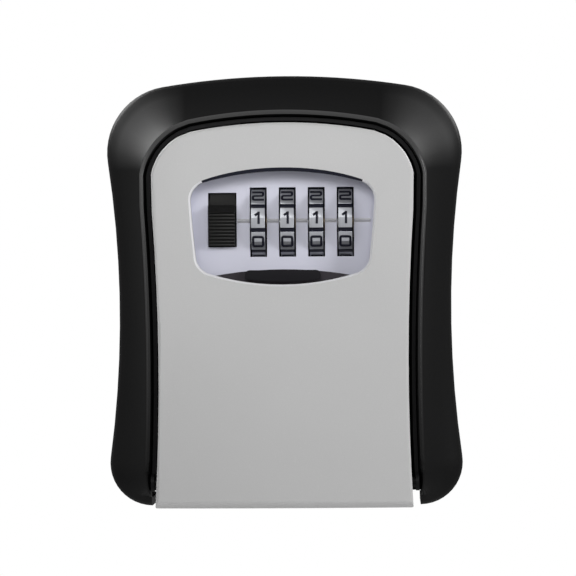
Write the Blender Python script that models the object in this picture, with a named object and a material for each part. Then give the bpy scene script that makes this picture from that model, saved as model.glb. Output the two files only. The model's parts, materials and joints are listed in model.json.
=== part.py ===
"""Wall-mounted key lock box with a drop-down door and a four-dial combination lock.

Lengths are in metres. +Z is up, the front of the door faces -Y, and the wall is the plane y = 0.
The origin is the middle of the back plate on the wall.
"""
import math

import bmesh
import bpy
from mathutils import Matrix, Vector

MM = 0.001

# Fits shared by every pair of pieces that touch, turn or slide
FIT = 0.3 * MM
SCREW_SHANK = 1.0 * MM
SCREW_HEAD = 1.9 * MM
SCREW_HEAD_HEIGHT = 1.3 * MM
SCREW_CROWN = 1.6 * MM
SCREW_DRIVE = 0.9 * MM
SCREW_DRIVE_DEPTH = 0.7 * MM

# Door outline, seen from the front
DOOR_FRONT = -40.0 * MM
DOOR_HALF_WIDTH = 33.0 * MM
DOOR_WAIST_Z = -22.0 * MM
DOOR_SIDE_RADIUS = 600.0 * MM
DOOR_TOP_Z = 43.7 * MM
DOOR_TOP_RADIUS = 130.0 * MM
DOOR_CORNER_RADIUS = 10.0 * MM
DOOR_BASE_Z = -58.2 * MM
DOOR_BASE_RADIUS = 4000.0 * MM
DOOR_FOOT_RADIUS = 0.4 * MM
DOOR_SKIN = 2.6 * MM
DOOR_WALL = 1.8 * MM
DOOR_DEPTH = 10.0 * MM
DOOR_EDGE_ROUND = 0.9 * MM
DOOR_SILL_ROUND = 2.6 * MM
HINGE_INSET = 7.5 * MM
HINGE_RISE = 6.5 * MM
HINGE_PIN_RADIUS = 1.25 * MM

# Window in the door
WINDOW_TOP_Z = 31.4 * MM
WINDOW_TOP_RADIUS = 78.0 * MM
WINDOW_BASE_Z = 0.4 * MM
WINDOW_BASE_RADIUS = 66.0 * MM
WINDOW_MARGIN = 7.6 * MM
WINDOW_WIDEST_Z = 42.0 * MM
WINDOW_SIDE_RADIUS = 300.0 * MM
WINDOW_CORNER_RADIUS = 5.5 * MM
WINDOW_BEVEL = 0.5 * MM

# Tray and back plate
DOOR_GAP = 0.9 * MM
TRAY_WALL = 1.0 * MM
TRAY_RIM_DROP = 8.5 * MM
TRAY_FLOOR_RISE = 4.2 * MM
TRAY_FLOOR = 1.4 * MM
TRAY_FLOOR_FRONT = -23.5 * MM
BACK_PLATE = 2.4 * MM
HINGE_EAR_RADIUS = 2.3 * MM
WALL_HOLE_RADIUS = 2.3 * MM
WALL_HOLE_X = 24.0 * MM
WALL_HOLE_TOP_Z = 28.0 * MM
WALL_HOLE_LOW_Z = -40.0 * MM

# Bezel: a hollow moulding lofted from a rounded crest beside the door to the outer outline
SIDE_BAND = 9.5 * MM
TOP_BAND = 11.2 * MM
WAIST_Z = -6.5 * MM
SIDE_RADIUS = 280.0 * MM
TOP_RADIUS = 205.0 * MM
SHOULDER_RADIUS = 18.0 * MM
FOOT_RADIUS = 11.5 * MM
BASE_Z = -58.6 * MM
BASE_RADIUS = 4000.0 * MM
BEZEL_WALL = 2.2 * MM
CREST_SET_BACK = 6.0 * MM
CREST_WIDTH = 1.5 * MM
CREST_LIP = 4.5 * MM
CREST_FADE = 4.0 * MM
CREST_END_RISE = 4.8 * MM
EDGE_SET_BACK = 15.0 * MM
EDGE_ROUND = 1.6 * MM
BOSS_RADIUS = 2.4 * MM
BOSS_BORE_DEPTH = 11.0 * MM
BOSS_LOW_Z = -45.0 * MM

# Dust shutter
SHUTTER_THICKNESS = 1.5 * MM
SHUTTER_MARGIN = 6.2 * MM
SHUTTER_TOP_Z = 4.5 * MM
SHUTTER_TOP_RADIUS = 103.0 * MM
SHUTTER_HEIGHT = 36.0 * MM
TAB_HALF_WIDTH = 10.0 * MM
TAB_CORNER = 1.2 * MM
TAB_STANDS = 1.9 * MM
TAB_BELOW_TOP = 0.2 * MM
RAIL_WIDTH = 1.5 * MM

# Dials on their shaft
DIAL_COUNT = 4
DIAL_DIGITS = 10
DIAL_RADIUS = 10.4 * MM
DIAL_WIDTH = 3.7 * MM
DIAL_PITCH = 7.73 * MM
DIAL_FIRST_X = -6.67 * MM
DIAL_AXIS_Z = 17.6 * MM
DIAL_PROUD = 3.5 * MM
DIAL_GROOVE_DEPTH = 0.55 * MM
DIAL_GROOVE_WIDTH = 1.1 * MM
DIAL_READING_TURN = math.radians(6.0)
DIAL_SIDE_GAP = 0.4 * MM
DIAL_RUN = 0.6 * MM
SHAFT_RADIUS = 2.3 * MM
CAM_RADIUS = 4.8 * MM
CAM_WIDTH = 2.4 * MM
CAM_SLEEVE_WALL = 1.4 * MM
CAM_SLEEVE_LENGTH = 2.6 * MM
GATE_WIDTH = 2.0 * MM
GATE_DEPTH = 1.4 * MM

# Dial plate
PLATE_THICKNESS = 1.6 * MM
PLATE_TOP_Z = 40.4 * MM
PLATE_LOW_Z = -40.0 * MM
PLATE_POST_MARGIN = 11.0 * MM
PLATE_POST_TOP_Z = 37.2 * MM
PLATE_POST_LOW_Z = -36.6 * MM
PLATE_POST_RADIUS = 2.2 * MM
LUG_WIDTH = 1.8 * MM
LUG_DEPTH = 3.2 * MM

# Thumb slide, latch bolt and keeper
SLIDE_X = -16.3 * MM
SLIDE_WIDTH = 7.0 * MM
SLIDE_HEIGHT = 10.9 * MM
SLIDE_LOW_Z = 11.3 * MM
SLIDE_PROUD = 2.7 * MM
SLIDE_TRAVEL = 3.0 * MM
SLIDE_RIBS = 10
SLIDE_RIB_DEPTH = 0.45 * MM
SLIDE_RIB_LAND = 0.55
SLIDE_RIB_FLANK = 0.75
SLIDE_BROW = 2.0 * MM
FLANGE_MARGIN = 1.5 * MM
FLANGE_THICKNESS = 1.2 * MM
STEM_LENGTH = 4.7 * MM
STEM_WIDTH = 3.4 * MM
STEM_HEIGHT = 6.0 * MM
BOLT_WIDTH = 5.2 * MM
BOLT_THICKNESS = 1.8 * MM
BOLT_TOP_Z = 38.2 * MM
KEEPER_WIDTH = 9.6 * MM
KEEPER_THICKNESS = 1.2 * MM
KEEPER_REACH = 4.4 * MM
KEEPER_CATCH = 2.0 * MM
KEEPER_HEADROOM = 1.1 * MM
KEEPER_GRIP = 1.0 * MM
BOLT_CLEARANCE = 0.6 * MM
SPRING_RADIUS = 1.4 * MM
SPRING_WIRE = 0.25 * MM
SPRING_TURNS = 5

# Fence, click spring, lock cover and reset lever
FENCE_HEIGHT = 2.4 * MM
FENCE_THICKNESS = 2.0 * MM
FENCE_FINGER = 1.5 * MM
CLICK_LEAF = 0.4 * MM
CLICK_FLANGE = 2.6 * MM
CLICK_FINGER_WIDTH = 2.6 * MM
COVER_WALL = 1.5 * MM
COVER_POST_RADIUS = 2.7 * MM
COVER_MARGIN = 0.9 * MM
COVER_HEADROOM = 0.7 * MM
RESET_WIDTH = 2.6 * MM
RESET_HEIGHT = 4.0 * MM
RESET_PROUD = 1.6 * MM
RESET_TRAVEL = 3.0 * MM
RESET_FLANGE = 1.4 * MM
RESET_THICKNESS = 1.1 * MM

# Steps along each stretch of an outline, and round a turned piece
TOP_STEPS = 9
CORNER_STEPS = 14
SIDE_STEPS = 9
FOOT_STEPS = 12
BASE_STEPS = 6
ROUND_STEPS = 24
HOLE_STEPS = 12

# Widths, depths and heights worked out from the sizes above
WINDOW_HALF_WIDTH = DOOR_HALF_WIDTH - WINDOW_MARGIN
SHUTTER_HALF_WIDTH = DOOR_HALF_WIDTH - SHUTTER_MARGIN
PLATE_POST_X = DOOR_HALF_WIDTH - PLATE_POST_MARGIN
RIM_OFFSET = DOOR_GAP + TRAY_WALL + FIT
SHUTTER_FRONT = DOOR_FRONT + DOOR_SKIN + FIT
SHUTTER_BACK = SHUTTER_FRONT + SHUTTER_THICKNESS
DIAL_FRONT = SHUTTER_BACK + DIAL_RUN
PLATE_FRONT = DIAL_FRONT + DIAL_PROUD
PLATE_BACK = PLATE_FRONT + PLATE_THICKNESS
DIAL_AXIS_Y = DIAL_FRONT + DIAL_RADIUS
DIAL_BACK = DIAL_AXIS_Y + DIAL_RADIUS
HINGE_Y = DOOR_FRONT + HINGE_INSET
HINGE_Z = DOOR_BASE_Z + HINGE_RISE
TRAY_RIM_Y = DOOR_FRONT + TRAY_RIM_DROP
TRAY_BASE_Z = DOOR_BASE_Z + TRAY_FLOOR_RISE
CREST_Y = DOOR_FRONT + CREST_SET_BACK
EDGE_Y = DOOR_FRONT + EDGE_SET_BACK
BORE_RADIUS = SHAFT_RADIUS + FIT
SCREW_HOLE = SCREW_SHANK + FIT
SLEEVE_RADIUS = BORE_RADIUS + CAM_SLEEVE_WALL
DIAL_BORE = SLEEVE_RADIUS + FIT
DIAL_X = [DIAL_FIRST_X + DIAL_PITCH * index for index in range(DIAL_COUNT)]
CAM_X = [x + DIAL_WIDTH / 2 + FIT for x in DIAL_X]
LUG_LEFT_X = DIAL_X[0] - DIAL_WIDTH / 2 - 2 * FIT - LUG_WIDTH
LUG_RIGHT_X = CAM_X[-1] + CAM_WIDTH + 2 * FIT
LUG_TOP_Z = DIAL_AXIS_Z + DIAL_RADIUS + DIAL_RUN
LUG_BACK = DIAL_AXIS_Y + SHAFT_RADIUS + LUG_DEPTH - FIT
FENCE_LOW_Z = LUG_TOP_Z + FIT
FENCE_TOP_Z = FENCE_LOW_Z + FENCE_HEIGHT
FLANGE_FRONT = PLATE_BACK + FIT
FLANGE_BACK = FLANGE_FRONT + FLANGE_THICKNESS
STEM_BACK = FLANGE_BACK + STEM_LENGTH
BOLT_FRONT = STEM_BACK + FIT
BOLT_BACK = BOLT_FRONT + BOLT_THICKNESS
STEM_Z = SLIDE_LOW_Z + SLIDE_HEIGHT / 2
KEEPER_LIP_BACK = BOLT_FRONT - BOLT_CLEARANCE
KEEPER_LOW_Z = BOLT_TOP_Z + SLIDE_TRAVEL - KEEPER_CATCH
KEEPER_TOP_Z = BOLT_TOP_Z + SLIDE_TRAVEL + KEEPER_HEADROOM
COVER_FRONT = PLATE_BACK + FIT
COVER_INSIDE = DIAL_BACK + COVER_HEADROOM
COVER_BACK = COVER_INSIDE + COVER_WALL
COVER_CORNER = COVER_WALL + 1.5 * COVER_POST_RADIUS + 2 * FIT
FLANGE_LEFT = SLIDE_X - SLIDE_WIDTH / 2 - FLANGE_MARGIN
COVER_LEFT = min(SLIDE_X - BOLT_WIDTH / 2 - COVER_CORNER, FLANGE_LEFT - COVER_MARGIN - COVER_WALL)
COVER_RIGHT = LUG_RIGHT_X + LUG_WIDTH + COVER_CORNER
COVER_LOW_Z = DIAL_AXIS_Z - DIAL_RADIUS - DIAL_RUN - CLICK_FLANGE - COVER_MARGIN - COVER_WALL
COVER_TOP_Z = FENCE_TOP_Z + COVER_MARGIN + COVER_WALL

# Outlines: (top height, radius), (half width, height, radius; negative is hollow), (base height, radius),
# then the radius of the upper corner and of the lower one
DOOR = (
    (DOOR_TOP_Z, DOOR_TOP_RADIUS),
    (DOOR_HALF_WIDTH, DOOR_WAIST_Z, -DOOR_SIDE_RADIUS),
    (DOOR_BASE_Z, DOOR_BASE_RADIUS),
    DOOR_CORNER_RADIUS,
    DOOR_FOOT_RADIUS,
)
OUTER = (
    (DOOR_TOP_Z + RIM_OFFSET + TOP_BAND, TOP_RADIUS),
    (DOOR_HALF_WIDTH + RIM_OFFSET + SIDE_BAND, WAIST_Z, -SIDE_RADIUS),
    (BASE_Z, BASE_RADIUS),
    SHOULDER_RADIUS,
    FOOT_RADIUS,
)
WINDOW = (
    (WINDOW_TOP_Z, WINDOW_TOP_RADIUS),
    (WINDOW_HALF_WIDTH, WINDOW_WIDEST_Z, WINDOW_SIDE_RADIUS),
    (WINDOW_BASE_Z, WINDOW_BASE_RADIUS),
    WINDOW_CORNER_RADIUS,
    WINDOW_CORNER_RADIUS,
)

FINISHES = {
    "painted_grey": ((0.52, 0.52, 0.52), 0.5, 0.0),
    "black_plastic": ((0.016, 0.016, 0.017), 0.42, 0.0),
    "tray_black": ((0.02, 0.02, 0.022), 0.5, 0.0),
    "plate_lavender": ((0.42, 0.42, 0.5), 0.45, 0.0),
    "dial_silver": ((0.62, 0.62, 0.66), 0.3, 1.0),
    "steel": ((0.55, 0.55, 0.56), 0.35, 1.0),
    "brass": ((0.72, 0.55, 0.25), 0.35, 1.0),
    "cover_grey": ((0.08, 0.08, 0.085), 0.55, 0.0),
}


def clear_scene():
    """Start from an empty scene."""
    for item in list(bpy.data.objects):
        bpy.data.objects.remove(item, do_unlink=True)


def make_collection(name):
    """A new collection in the scene."""
    group = bpy.data.collections.new(name)
    bpy.context.scene.collection.children.link(group)
    return group


def make_finish(name):
    """A plain material with the piece's colour, roughness and metallic value."""
    colour, roughness, metallic = FINISHES[name]
    finish = bpy.data.materials.new(name)
    finish.use_nodes = True
    shader = finish.node_tree.nodes["Principled BSDF"]
    shader.inputs["Base Color"].default_value = (*colour, 1.0)
    shader.inputs["Roughness"].default_value = roughness
    shader.inputs["Metallic"].default_value = metallic
    finish.diffuse_color = (*colour, 1.0)
    return finish


clear_scene()
PARTS = make_collection("key_lock_box")
CUTTERS = make_collection("key_lock_box_cutters")
MATERIALS = {name: make_finish(name) for name in FINISHES}


def make_object(name, bm):
    """Turn a bmesh into an object among the cutters, with its faces pointing out."""
    bmesh.ops.recalc_face_normals(bm, faces=bm.faces)
    mesh = bpy.data.meshes.new(name)
    bm.to_mesh(mesh)
    bm.free()
    mesh.shade_smooth()
    mesh.set_sharp_from_angle(angle=math.radians(35))
    item = bpy.data.objects.new(name, mesh)
    item.hide_render = True
    item.display_type = "WIRE"
    CUTTERS.objects.link(item)
    return item


def make_part(item, finish, pivot):
    """Move an object to the parts, with its material, under the empty of its joint."""
    CUTTERS.objects.unlink(item)
    PARTS.objects.link(item)
    item.hide_render = False
    item.display_type = "TEXTURED"
    item.data.materials.append(MATERIALS[finish])
    item.parent = pivot
    item.matrix_parent_inverse = Matrix.Translation(pivot.location).inverted()
    return item


def make_pivot(name, place):
    """An empty on a joint's axis."""
    pivot = bpy.data.objects.new(name, None)
    pivot.location = place
    PARTS.objects.link(pivot)
    return pivot


def boolean(item, tool, operation):
    """Add a Boolean of the tool to the item."""
    modifier = item.modifiers.new(tool.name, "BOOLEAN")
    modifier.operation = operation
    modifier.solver = "EXACT"
    modifier.object = tool


def cut(item, *tools):
    """Take the tools away from the item."""
    for tool in tools:
        boolean(item, tool, "DIFFERENCE")


def join(item, *tools):
    """Fuse the tools with the item."""
    for tool in tools:
        boolean(item, tool, "UNION")


def block(name, x, y, z):
    """A box between pairs of x, y and z."""
    size = Vector((x[1] - x[0], y[1] - y[0], z[1] - z[0]))
    centre = Vector((x[0] + x[1], y[0] + y[1], z[0] + z[1])) / 2
    bm = bmesh.new()
    bmesh.ops.create_cube(bm, size=1.0, matrix=Matrix.Translation(centre) @ Matrix.Diagonal((*size, 1.0)))
    return make_object(name, bm)


def rod(name, start, direction, radius, length, tip_radius=None, steps=ROUND_STEPS):
    """A round bar from a start point along a direction."""
    aim = Vector(direction).normalized()
    middle = Vector(start) + aim * length / 2
    turn = aim.to_track_quat("Z", "Y").to_matrix().to_4x4()
    bm = bmesh.new()
    bmesh.ops.create_cone(
        bm,
        cap_ends=True,
        segments=steps,
        radius1=radius,
        radius2=radius if tip_radius is None else tip_radius,
        depth=length,
        matrix=Matrix.Translation(middle) @ turn,
    )
    return make_object(name, bm)


def prism(name, outline, front, back, rounding=0.0):
    """An outline in x and z, drawn out from front to back, with its front edge rounded."""
    bm = bmesh.new()
    face = bm.faces.new([bm.verts.new((x, back, z)) for x, z in outline])
    grown = bmesh.ops.extrude_face_region(bm, geom=[face])["geom"]
    moved = [vert for vert in grown if isinstance(vert, bmesh.types.BMVert)]
    bmesh.ops.translate(bm, vec=(0.0, front - back, 0.0), verts=moved)
    if rounding:
        edges = [edge for edge in bm.edges if all(vert in moved for vert in edge.verts)]
        bmesh.ops.bevel(bm, geom=edges, offset=rounding, segments=3, profile=0.5, affect="EDGES")
    return make_object(name, bm)


def loft(name, sections):
    """A solid through closed sections of equal length, capped at both ends."""
    bm = bmesh.new()
    rings = [[bm.verts.new(point) for point in section] for section in sections]
    for near, far in zip(rings, rings[1:]):
        for index in range(len(near)):
            bm.faces.new((near[index - 1], near[index], far[index], far[index - 1]))
    bm.faces.new(rings[0])
    bm.faces.new(rings[-1])
    return make_object(name, bm)


def arc(centre, start, end, steps):
    """Points from start to end round a centre, the short way."""
    first = math.atan2(start[1] - centre[1], start[0] - centre[0])
    sweep = math.atan2(end[1] - centre[1], end[0] - centre[0]) - first
    sweep = (sweep + math.pi) % (2 * math.pi) - math.pi
    radius = math.dist(centre, start)
    turns = [first + sweep * step / steps for step in range(steps + 1)]
    return [(centre[0] + radius * math.cos(turn), centre[1] + radius * math.sin(turn)) for turn in turns]


def crossing(first, first_radius, second, second_radius, rank):
    """The point at given distances from two centres: the one that ranks higher."""
    span = math.dist(first, second)
    along = (span**2 + first_radius**2 - second_radius**2) / (2 * span)
    across = math.sqrt(first_radius**2 - along**2)
    ux = (second[0] - first[0]) / span
    uz = (second[1] - first[1]) / span
    middle = (first[0] + ux * along, first[1] + uz * along)
    options = [(middle[0] - side * uz * across, middle[1] + side * ux * across) for side in (1, -1)]
    return max(options, key=rank)


def towards(centre, point, distance):
    """The point at a distance from a centre, on the way to another point."""
    share = distance / math.dist(centre, point)
    return (centre[0] + (point[0] - centre[0]) * share, centre[1] + (point[1] - centre[1]) * share)


def half_outline(shape, grow=0.0):
    """The right half of an outline, grown evenly, as its top, corner, side, foot and base stretches."""
    (top_z, top_radius), (half, side_z, side_radius), (base_z, base_radius), corner, foot = shape
    top_radius += grow
    base_radius += grow
    side_radius += grow
    corner = max(corner + grow, FIT)
    foot = max(foot + grow, FIT)
    top = (0.0, top_z + grow - top_radius)
    base = (0.0, base_z - grow + base_radius)
    side = (half + grow - side_radius, side_z)
    upper = crossing(top, top_radius - corner, side, abs(side_radius - corner), rank_up)
    lower = crossing(base, base_radius - foot, side, abs(side_radius - foot), rank_down)
    corner_start = towards(top, upper, top_radius)
    corner_end = towards(side, upper, abs(side_radius))
    foot_start = towards(side, lower, abs(side_radius))
    foot_end = towards(base, lower, base_radius)
    return {
        "top": arc(top, (0.0, top_z + grow), corner_start, TOP_STEPS),
        "corner": arc(upper, corner_start, corner_end, CORNER_STEPS),
        "side": arc(side, corner_end, foot_start, SIDE_STEPS),
        "foot": arc(lower, foot_start, foot_end, FOOT_STEPS),
        "base": arc(base, foot_end, (0.0, base_z - grow), BASE_STEPS),
    }


def rank_up(point):
    """Prefers a crossing to the upper right."""
    return (point[0] > 0) * 1.0 + point[1]


def rank_down(point):
    """Prefers a crossing to the lower right."""
    return (point[0] > 0) * 1.0 - point[1]


def side_x(shape, z, grow=0.0):
    """The half width of an outline at a height on its side stretch."""
    half, side_z, side_radius = shape[1]
    radius = side_radius + grow
    centre = half + grow - radius
    return centre + math.copysign(math.sqrt(radius**2 - (z - side_z) ** 2), radius)


def closed_outline(shape, grow=0.0):
    """Both halves of an outline as one ring of points."""
    stretches = half_outline(shape, grow)
    right = [(0.0, shape[0][0] + grow)]
    for name in ("top", "corner", "side", "foot", "base"):
        right += stretches[name][1:]
    left = [(-x, z) for x, z in reversed(right[1:-1])]
    return right + left


def limited(outline, low=None, high=None):
    """The part of an outline between two levels, cut straight across."""
    points = outline
    if low is not None:
        points = cut_across(points, low, 1.0)
    if high is not None:
        points = cut_across(points, high, -1.0)
    return points


def cut_across(outline, level, way):
    """The part of an outline above a level, or below it where the way is negative."""
    kept = []
    for (x0, z0), (x1, z1) in zip(outline, outline[1:] + outline[:1]):
        if (z0 - level) * way >= 0:
            kept.append((x0, z0))
        if (z0 - level) * (z1 - level) < 0:
            share = (level - z0) / (z1 - z0)
            kept.append((x0 + (x1 - x0) * share, level))
    return kept


def screw(name, head, direction, length, pivot):
    """A pan-head screw whose head's underside is at a point; the shank runs along the direction."""
    aim = Vector(direction)
    start = Vector(head)
    crown = start - aim * SCREW_HEAD_HEIGHT
    body = rod(name, crown, aim, SCREW_CROWN, SCREW_HEAD_HEIGHT, SCREW_HEAD)
    join(body, rod(name + "_shank", start - aim * FIT, aim, SCREW_SHANK, length + FIT, steps=HOLE_STEPS))
    cut(body, rod(name + "_drive", crown - aim * FIT, aim, SCREW_DRIVE, FIT + SCREW_DRIVE_DEPTH, steps=6))
    return make_part(body, "steel", pivot)


def bezel_section(inner, outer, crest_y):
    """One closed section of the bezel: lip, crest, slope, rounded edge, outer wall and hollow."""
    start = Vector((inner[0], 0.0, inner[1]))
    run = Vector((outer[0], 0.0, outer[1])) - start
    length = run.length
    run.normalize()
    inside = length - BEZEL_WALL
    profile = [
        (0.0, crest_y + CREST_LIP),
        (0.0, crest_y + CREST_WIDTH * 0.4),
        (CREST_WIDTH * 0.25, crest_y + CREST_WIDTH * 0.08),
        (CREST_WIDTH * 0.65, crest_y),
        (CREST_WIDTH, crest_y + CREST_WIDTH * 0.2),
        (CREST_WIDTH * 1.25, crest_y + CREST_WIDTH * 0.6),
        (length - EDGE_ROUND * 1.6, EDGE_Y - EDGE_ROUND * 0.75),
        (length - EDGE_ROUND * 0.7, EDGE_Y - EDGE_ROUND * 0.2),
        (length - EDGE_ROUND * 0.2, EDGE_Y + EDGE_ROUND * 0.4),
        (length, EDGE_Y + EDGE_ROUND * 1.4),
        (length, 0.0),
        (inside, 0.0),
        (inside, EDGE_Y + EDGE_ROUND * 1.4),
        (CREST_WIDTH * 1.25, crest_y + CREST_LIP),
    ]
    return [start + run * along + Vector((0.0, y, 0.0)) for along, y in profile]


def bezel_stations():
    """Matching points on the crest and on the outer outline, from the top middle down to the right foot."""
    crest = half_outline(DOOR, RIM_OFFSET)
    outer = half_outline(OUTER)
    foot_z = outer["foot"][0][1]
    end_z = BASE_Z + CREST_END_RISE
    start_z = crest["side"][0][1]
    inner_points = crest["top"] + crest["corner"][1:]
    for step in range(1, SIDE_STEPS + 1):
        z = start_z + (foot_z - start_z) * step / SIDE_STEPS
        inner_points.append((side_x(DOOR, z, RIM_OFFSET), z))
    for step in range(1, FOOT_STEPS + 1):
        z = foot_z + (end_z - foot_z) * step / FOOT_STEPS
        inner_points.append((side_x(DOOR, z, RIM_OFFSET), z))
    outer_points = outer["top"] + outer["corner"][1:] + outer["side"][1:] + outer["foot"][1:]
    fades = [0.0] * (len(inner_points) - FOOT_STEPS)
    fades += [CREST_FADE * (step / FOOT_STEPS) ** 2 for step in range(1, FOOT_STEPS + 1)]
    return list(zip(inner_points, outer_points, fades))


def boss_places():
    """The four bezel bosses, midway between crest and outer wall, and the depth of the skin there."""
    places = []
    crest_corner = half_outline(DOOR, RIM_OFFSET)["corner"]
    outer_corner = half_outline(OUTER)["corner"]
    middle = CORNER_STEPS // 2
    top_x = (crest_corner[middle][0] + outer_corner[middle][0]) / 2
    top_z = (crest_corner[middle][1] + outer_corner[middle][1]) / 2
    low_x = (side_x(DOOR, BOSS_LOW_Z, RIM_OFFSET) + side_x(OUTER, BOSS_LOW_Z)) / 2
    for x, z in ((top_x, top_z), (low_x, BOSS_LOW_Z)):
        places += [(-x, z), (x, z)]
    return places


def make_bezel(pivot):
    """The black surround, hollow behind, with a boss for each of its screws."""
    right = bezel_stations()
    left = [((-a[0], a[1]), (-b[0], b[1]), fade) for a, b, fade in reversed(right[1:])]
    sections = [bezel_section(inner, outer, CREST_Y + fade) for inner, outer, fade in left + right]
    bezel = loft("outer_bezel", sections)
    skin_y = (CREST_Y + EDGE_Y) / 2 + BOSS_RADIUS + FIT
    back = -BACK_PLATE - FIT
    depth = BACK_PLATE + BOSS_BORE_DEPTH
    for x, z in boss_places():
        join(bezel, rod("boss", (x, back, z), (0, -1, 0), BOSS_RADIUS, back - skin_y))
        cut(bezel, rod("boss_bore", (x, 0, z), (0, -1, 0), SCREW_HOLE, depth, steps=HOLE_STEPS))
    return make_part(bezel, "black_plastic", pivot)


def make_bezel_screws(pivot):
    """Screws from the back plate into the bezel's bosses, with their heads sunk in the plate."""
    sink = SCREW_HEAD_HEIGHT + FIT
    for index, (x, z) in enumerate(boss_places()):
        length = BOSS_BORE_DEPTH + BACK_PLATE - sink - 2 * FIT
        screw(f"bezel_screw_{index + 1}", (x, -sink, z), (0, -1, 0), length, pivot)


def make_tray(pivot):
    """Back plate and key tray in one piece, with hinge ears and the keeper's pad."""
    outer_grow = DOOR_GAP + TRAY_WALL
    tray = prism("housing_tray", closed_outline(OUTER, -BEZEL_WALL - FIT), -BACK_PLATE, 0.0)
    body = limited(closed_outline(DOOR, outer_grow), low=TRAY_BASE_Z)
    hollow = limited(closed_outline(DOOR, DOOR_GAP), low=TRAY_BASE_Z + TRAY_FLOOR)
    join(tray, prism("tray_body", body, TRAY_RIM_Y, -BACK_PLATE / 2))
    cut(tray, prism("tray_hollow", hollow, TRAY_RIM_Y - DOOR_DEPTH, -BACK_PLATE))
    reach = side_x(DOOR, HINGE_Z, outer_grow)
    inside = side_x(DOOR, HINGE_Z, DOOR_GAP) + FIT
    swing = block(
        "tray_swing",
        (-inside, inside),
        (TRAY_RIM_Y - DOOR_DEPTH, TRAY_FLOOR_FRONT),
        (TRAY_BASE_Z - TRAY_FLOOR, TRAY_BASE_Z + 2 * TRAY_FLOOR),
    )
    cut(tray, swing)
    for side in (-1, 1):
        ear_start = (side * (reach - TRAY_WALL + FIT / 2), HINGE_Y, HINGE_Z)
        join(tray, rod(f"ear_{side}", ear_start, (side, 0, 0), HINGE_EAR_RADIUS, TRAY_WALL - FIT / 2))
    pad = block(
        "keeper_pad",
        (SLIDE_X - KEEPER_WIDTH / 2 - FIT, SLIDE_X + KEEPER_WIDTH / 2 + FIT),
        (KEEPER_LIP_BACK - KEEPER_REACH - KEEPER_THICKNESS - FIT, KEEPER_LIP_BACK),
        (KEEPER_TOP_Z + FIT, DOOR_TOP_Z + outer_grow),
    )
    envelope = prism("tray_envelope", body, TRAY_RIM_Y, -BACK_PLATE / 2)
    boolean(pad, envelope, "INTERSECT")
    join(tray, pad)
    bore_start = (-reach - DOOR_GAP, HINGE_Y, HINGE_Z)
    cut(tray, rod("tray_bore", bore_start, (1, 0, 0), HINGE_PIN_RADIUS + FIT, 2 * (reach + DOOR_GAP)))
    through = BACK_PLATE + 2 * FIT
    for x in (-WALL_HOLE_X, WALL_HOLE_X):
        for z in (WALL_HOLE_TOP_Z, WALL_HOLE_LOW_Z):
            cut(tray, rod("wall_hole", (x, FIT, z), (0, -1, 0), WALL_HOLE_RADIUS, through))
    for x, z in boss_places():
        sink_depth = SCREW_HEAD_HEIGHT + 3 * FIT
        cut(tray, rod("screw_sink", (x, FIT, z), (0, -1, 0), SCREW_HEAD + FIT, sink_depth))
        cut(tray, rod("screw_hole", (x, FIT, z), (0, -1, 0), SCREW_HOLE, through, steps=HOLE_STEPS))
    for x, y in keeper_screw_places():
        start = (x, y, KEEPER_TOP_Z)
        cut(tray, rod("pad_hole", start, (0, 0, 1), SCREW_HOLE, KEEPER_GRIP + FIT, steps=HOLE_STEPS))
    return make_part(tray, "tray_black", pivot)


def keeper_screw_places():
    """The keeper's two screws, in front of its lip."""
    y = KEEPER_LIP_BACK - KEEPER_THICKNESS - KEEPER_REACH / 2
    return [(SLIDE_X - KEEPER_WIDTH / 4, y), (SLIDE_X + KEEPER_WIDTH / 4, y)]


def make_keeper(pivot):
    """The L-shaped keeper under the tray's roof: the thrown bolt stands behind its lip."""
    across = (SLIDE_X - KEEPER_WIDTH / 2, SLIDE_X + KEEPER_WIDTH / 2)
    lip_front = KEEPER_LIP_BACK - KEEPER_THICKNESS
    under = KEEPER_TOP_Z - KEEPER_THICKNESS
    plate_y = (lip_front - KEEPER_REACH, KEEPER_LIP_BACK)
    keeper = block("keeper_plate", across, plate_y, (under, KEEPER_TOP_Z))
    lip_z = (KEEPER_LOW_Z, KEEPER_TOP_Z - FIT)
    join(keeper, block("keeper_lip", across, (lip_front, KEEPER_LIP_BACK), lip_z))
    for x, y in keeper_screw_places():
        start = (x, y, under - FIT)
        depth = KEEPER_THICKNESS + 2 * FIT
        cut(keeper, rod("keeper_hole", start, (0, 0, 1), SCREW_HOLE, depth, steps=HOLE_STEPS))
    make_part(keeper, "steel", pivot)
    for index, (x, y) in enumerate(keeper_screw_places()):
        head = (x, y, under - FIT)
        screw(f"keeper_screw_{index + 1}", head, (0, 0, 1), KEEPER_THICKNESS + KEEPER_GRIP, pivot)


def make_hinge_pin(pivot):
    """The pin through the tray's ears and the door's walls."""
    reach = side_x(DOOR, HINGE_Z, DOOR_GAP + TRAY_WALL) - FIT
    pin = rod("hinge_pin", (-reach, HINGE_Y, HINGE_Z), (1, 0, 0), HINGE_PIN_RADIUS, 2 * reach)
    make_part(pin, "steel", pivot)


def post_places():
    """The four posts that carry the dial plate behind the door."""
    return [(x, z) for z in (PLATE_POST_TOP_Z, PLATE_POST_LOW_Z) for x in (-PLATE_POST_X, PLATE_POST_X)]


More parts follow.
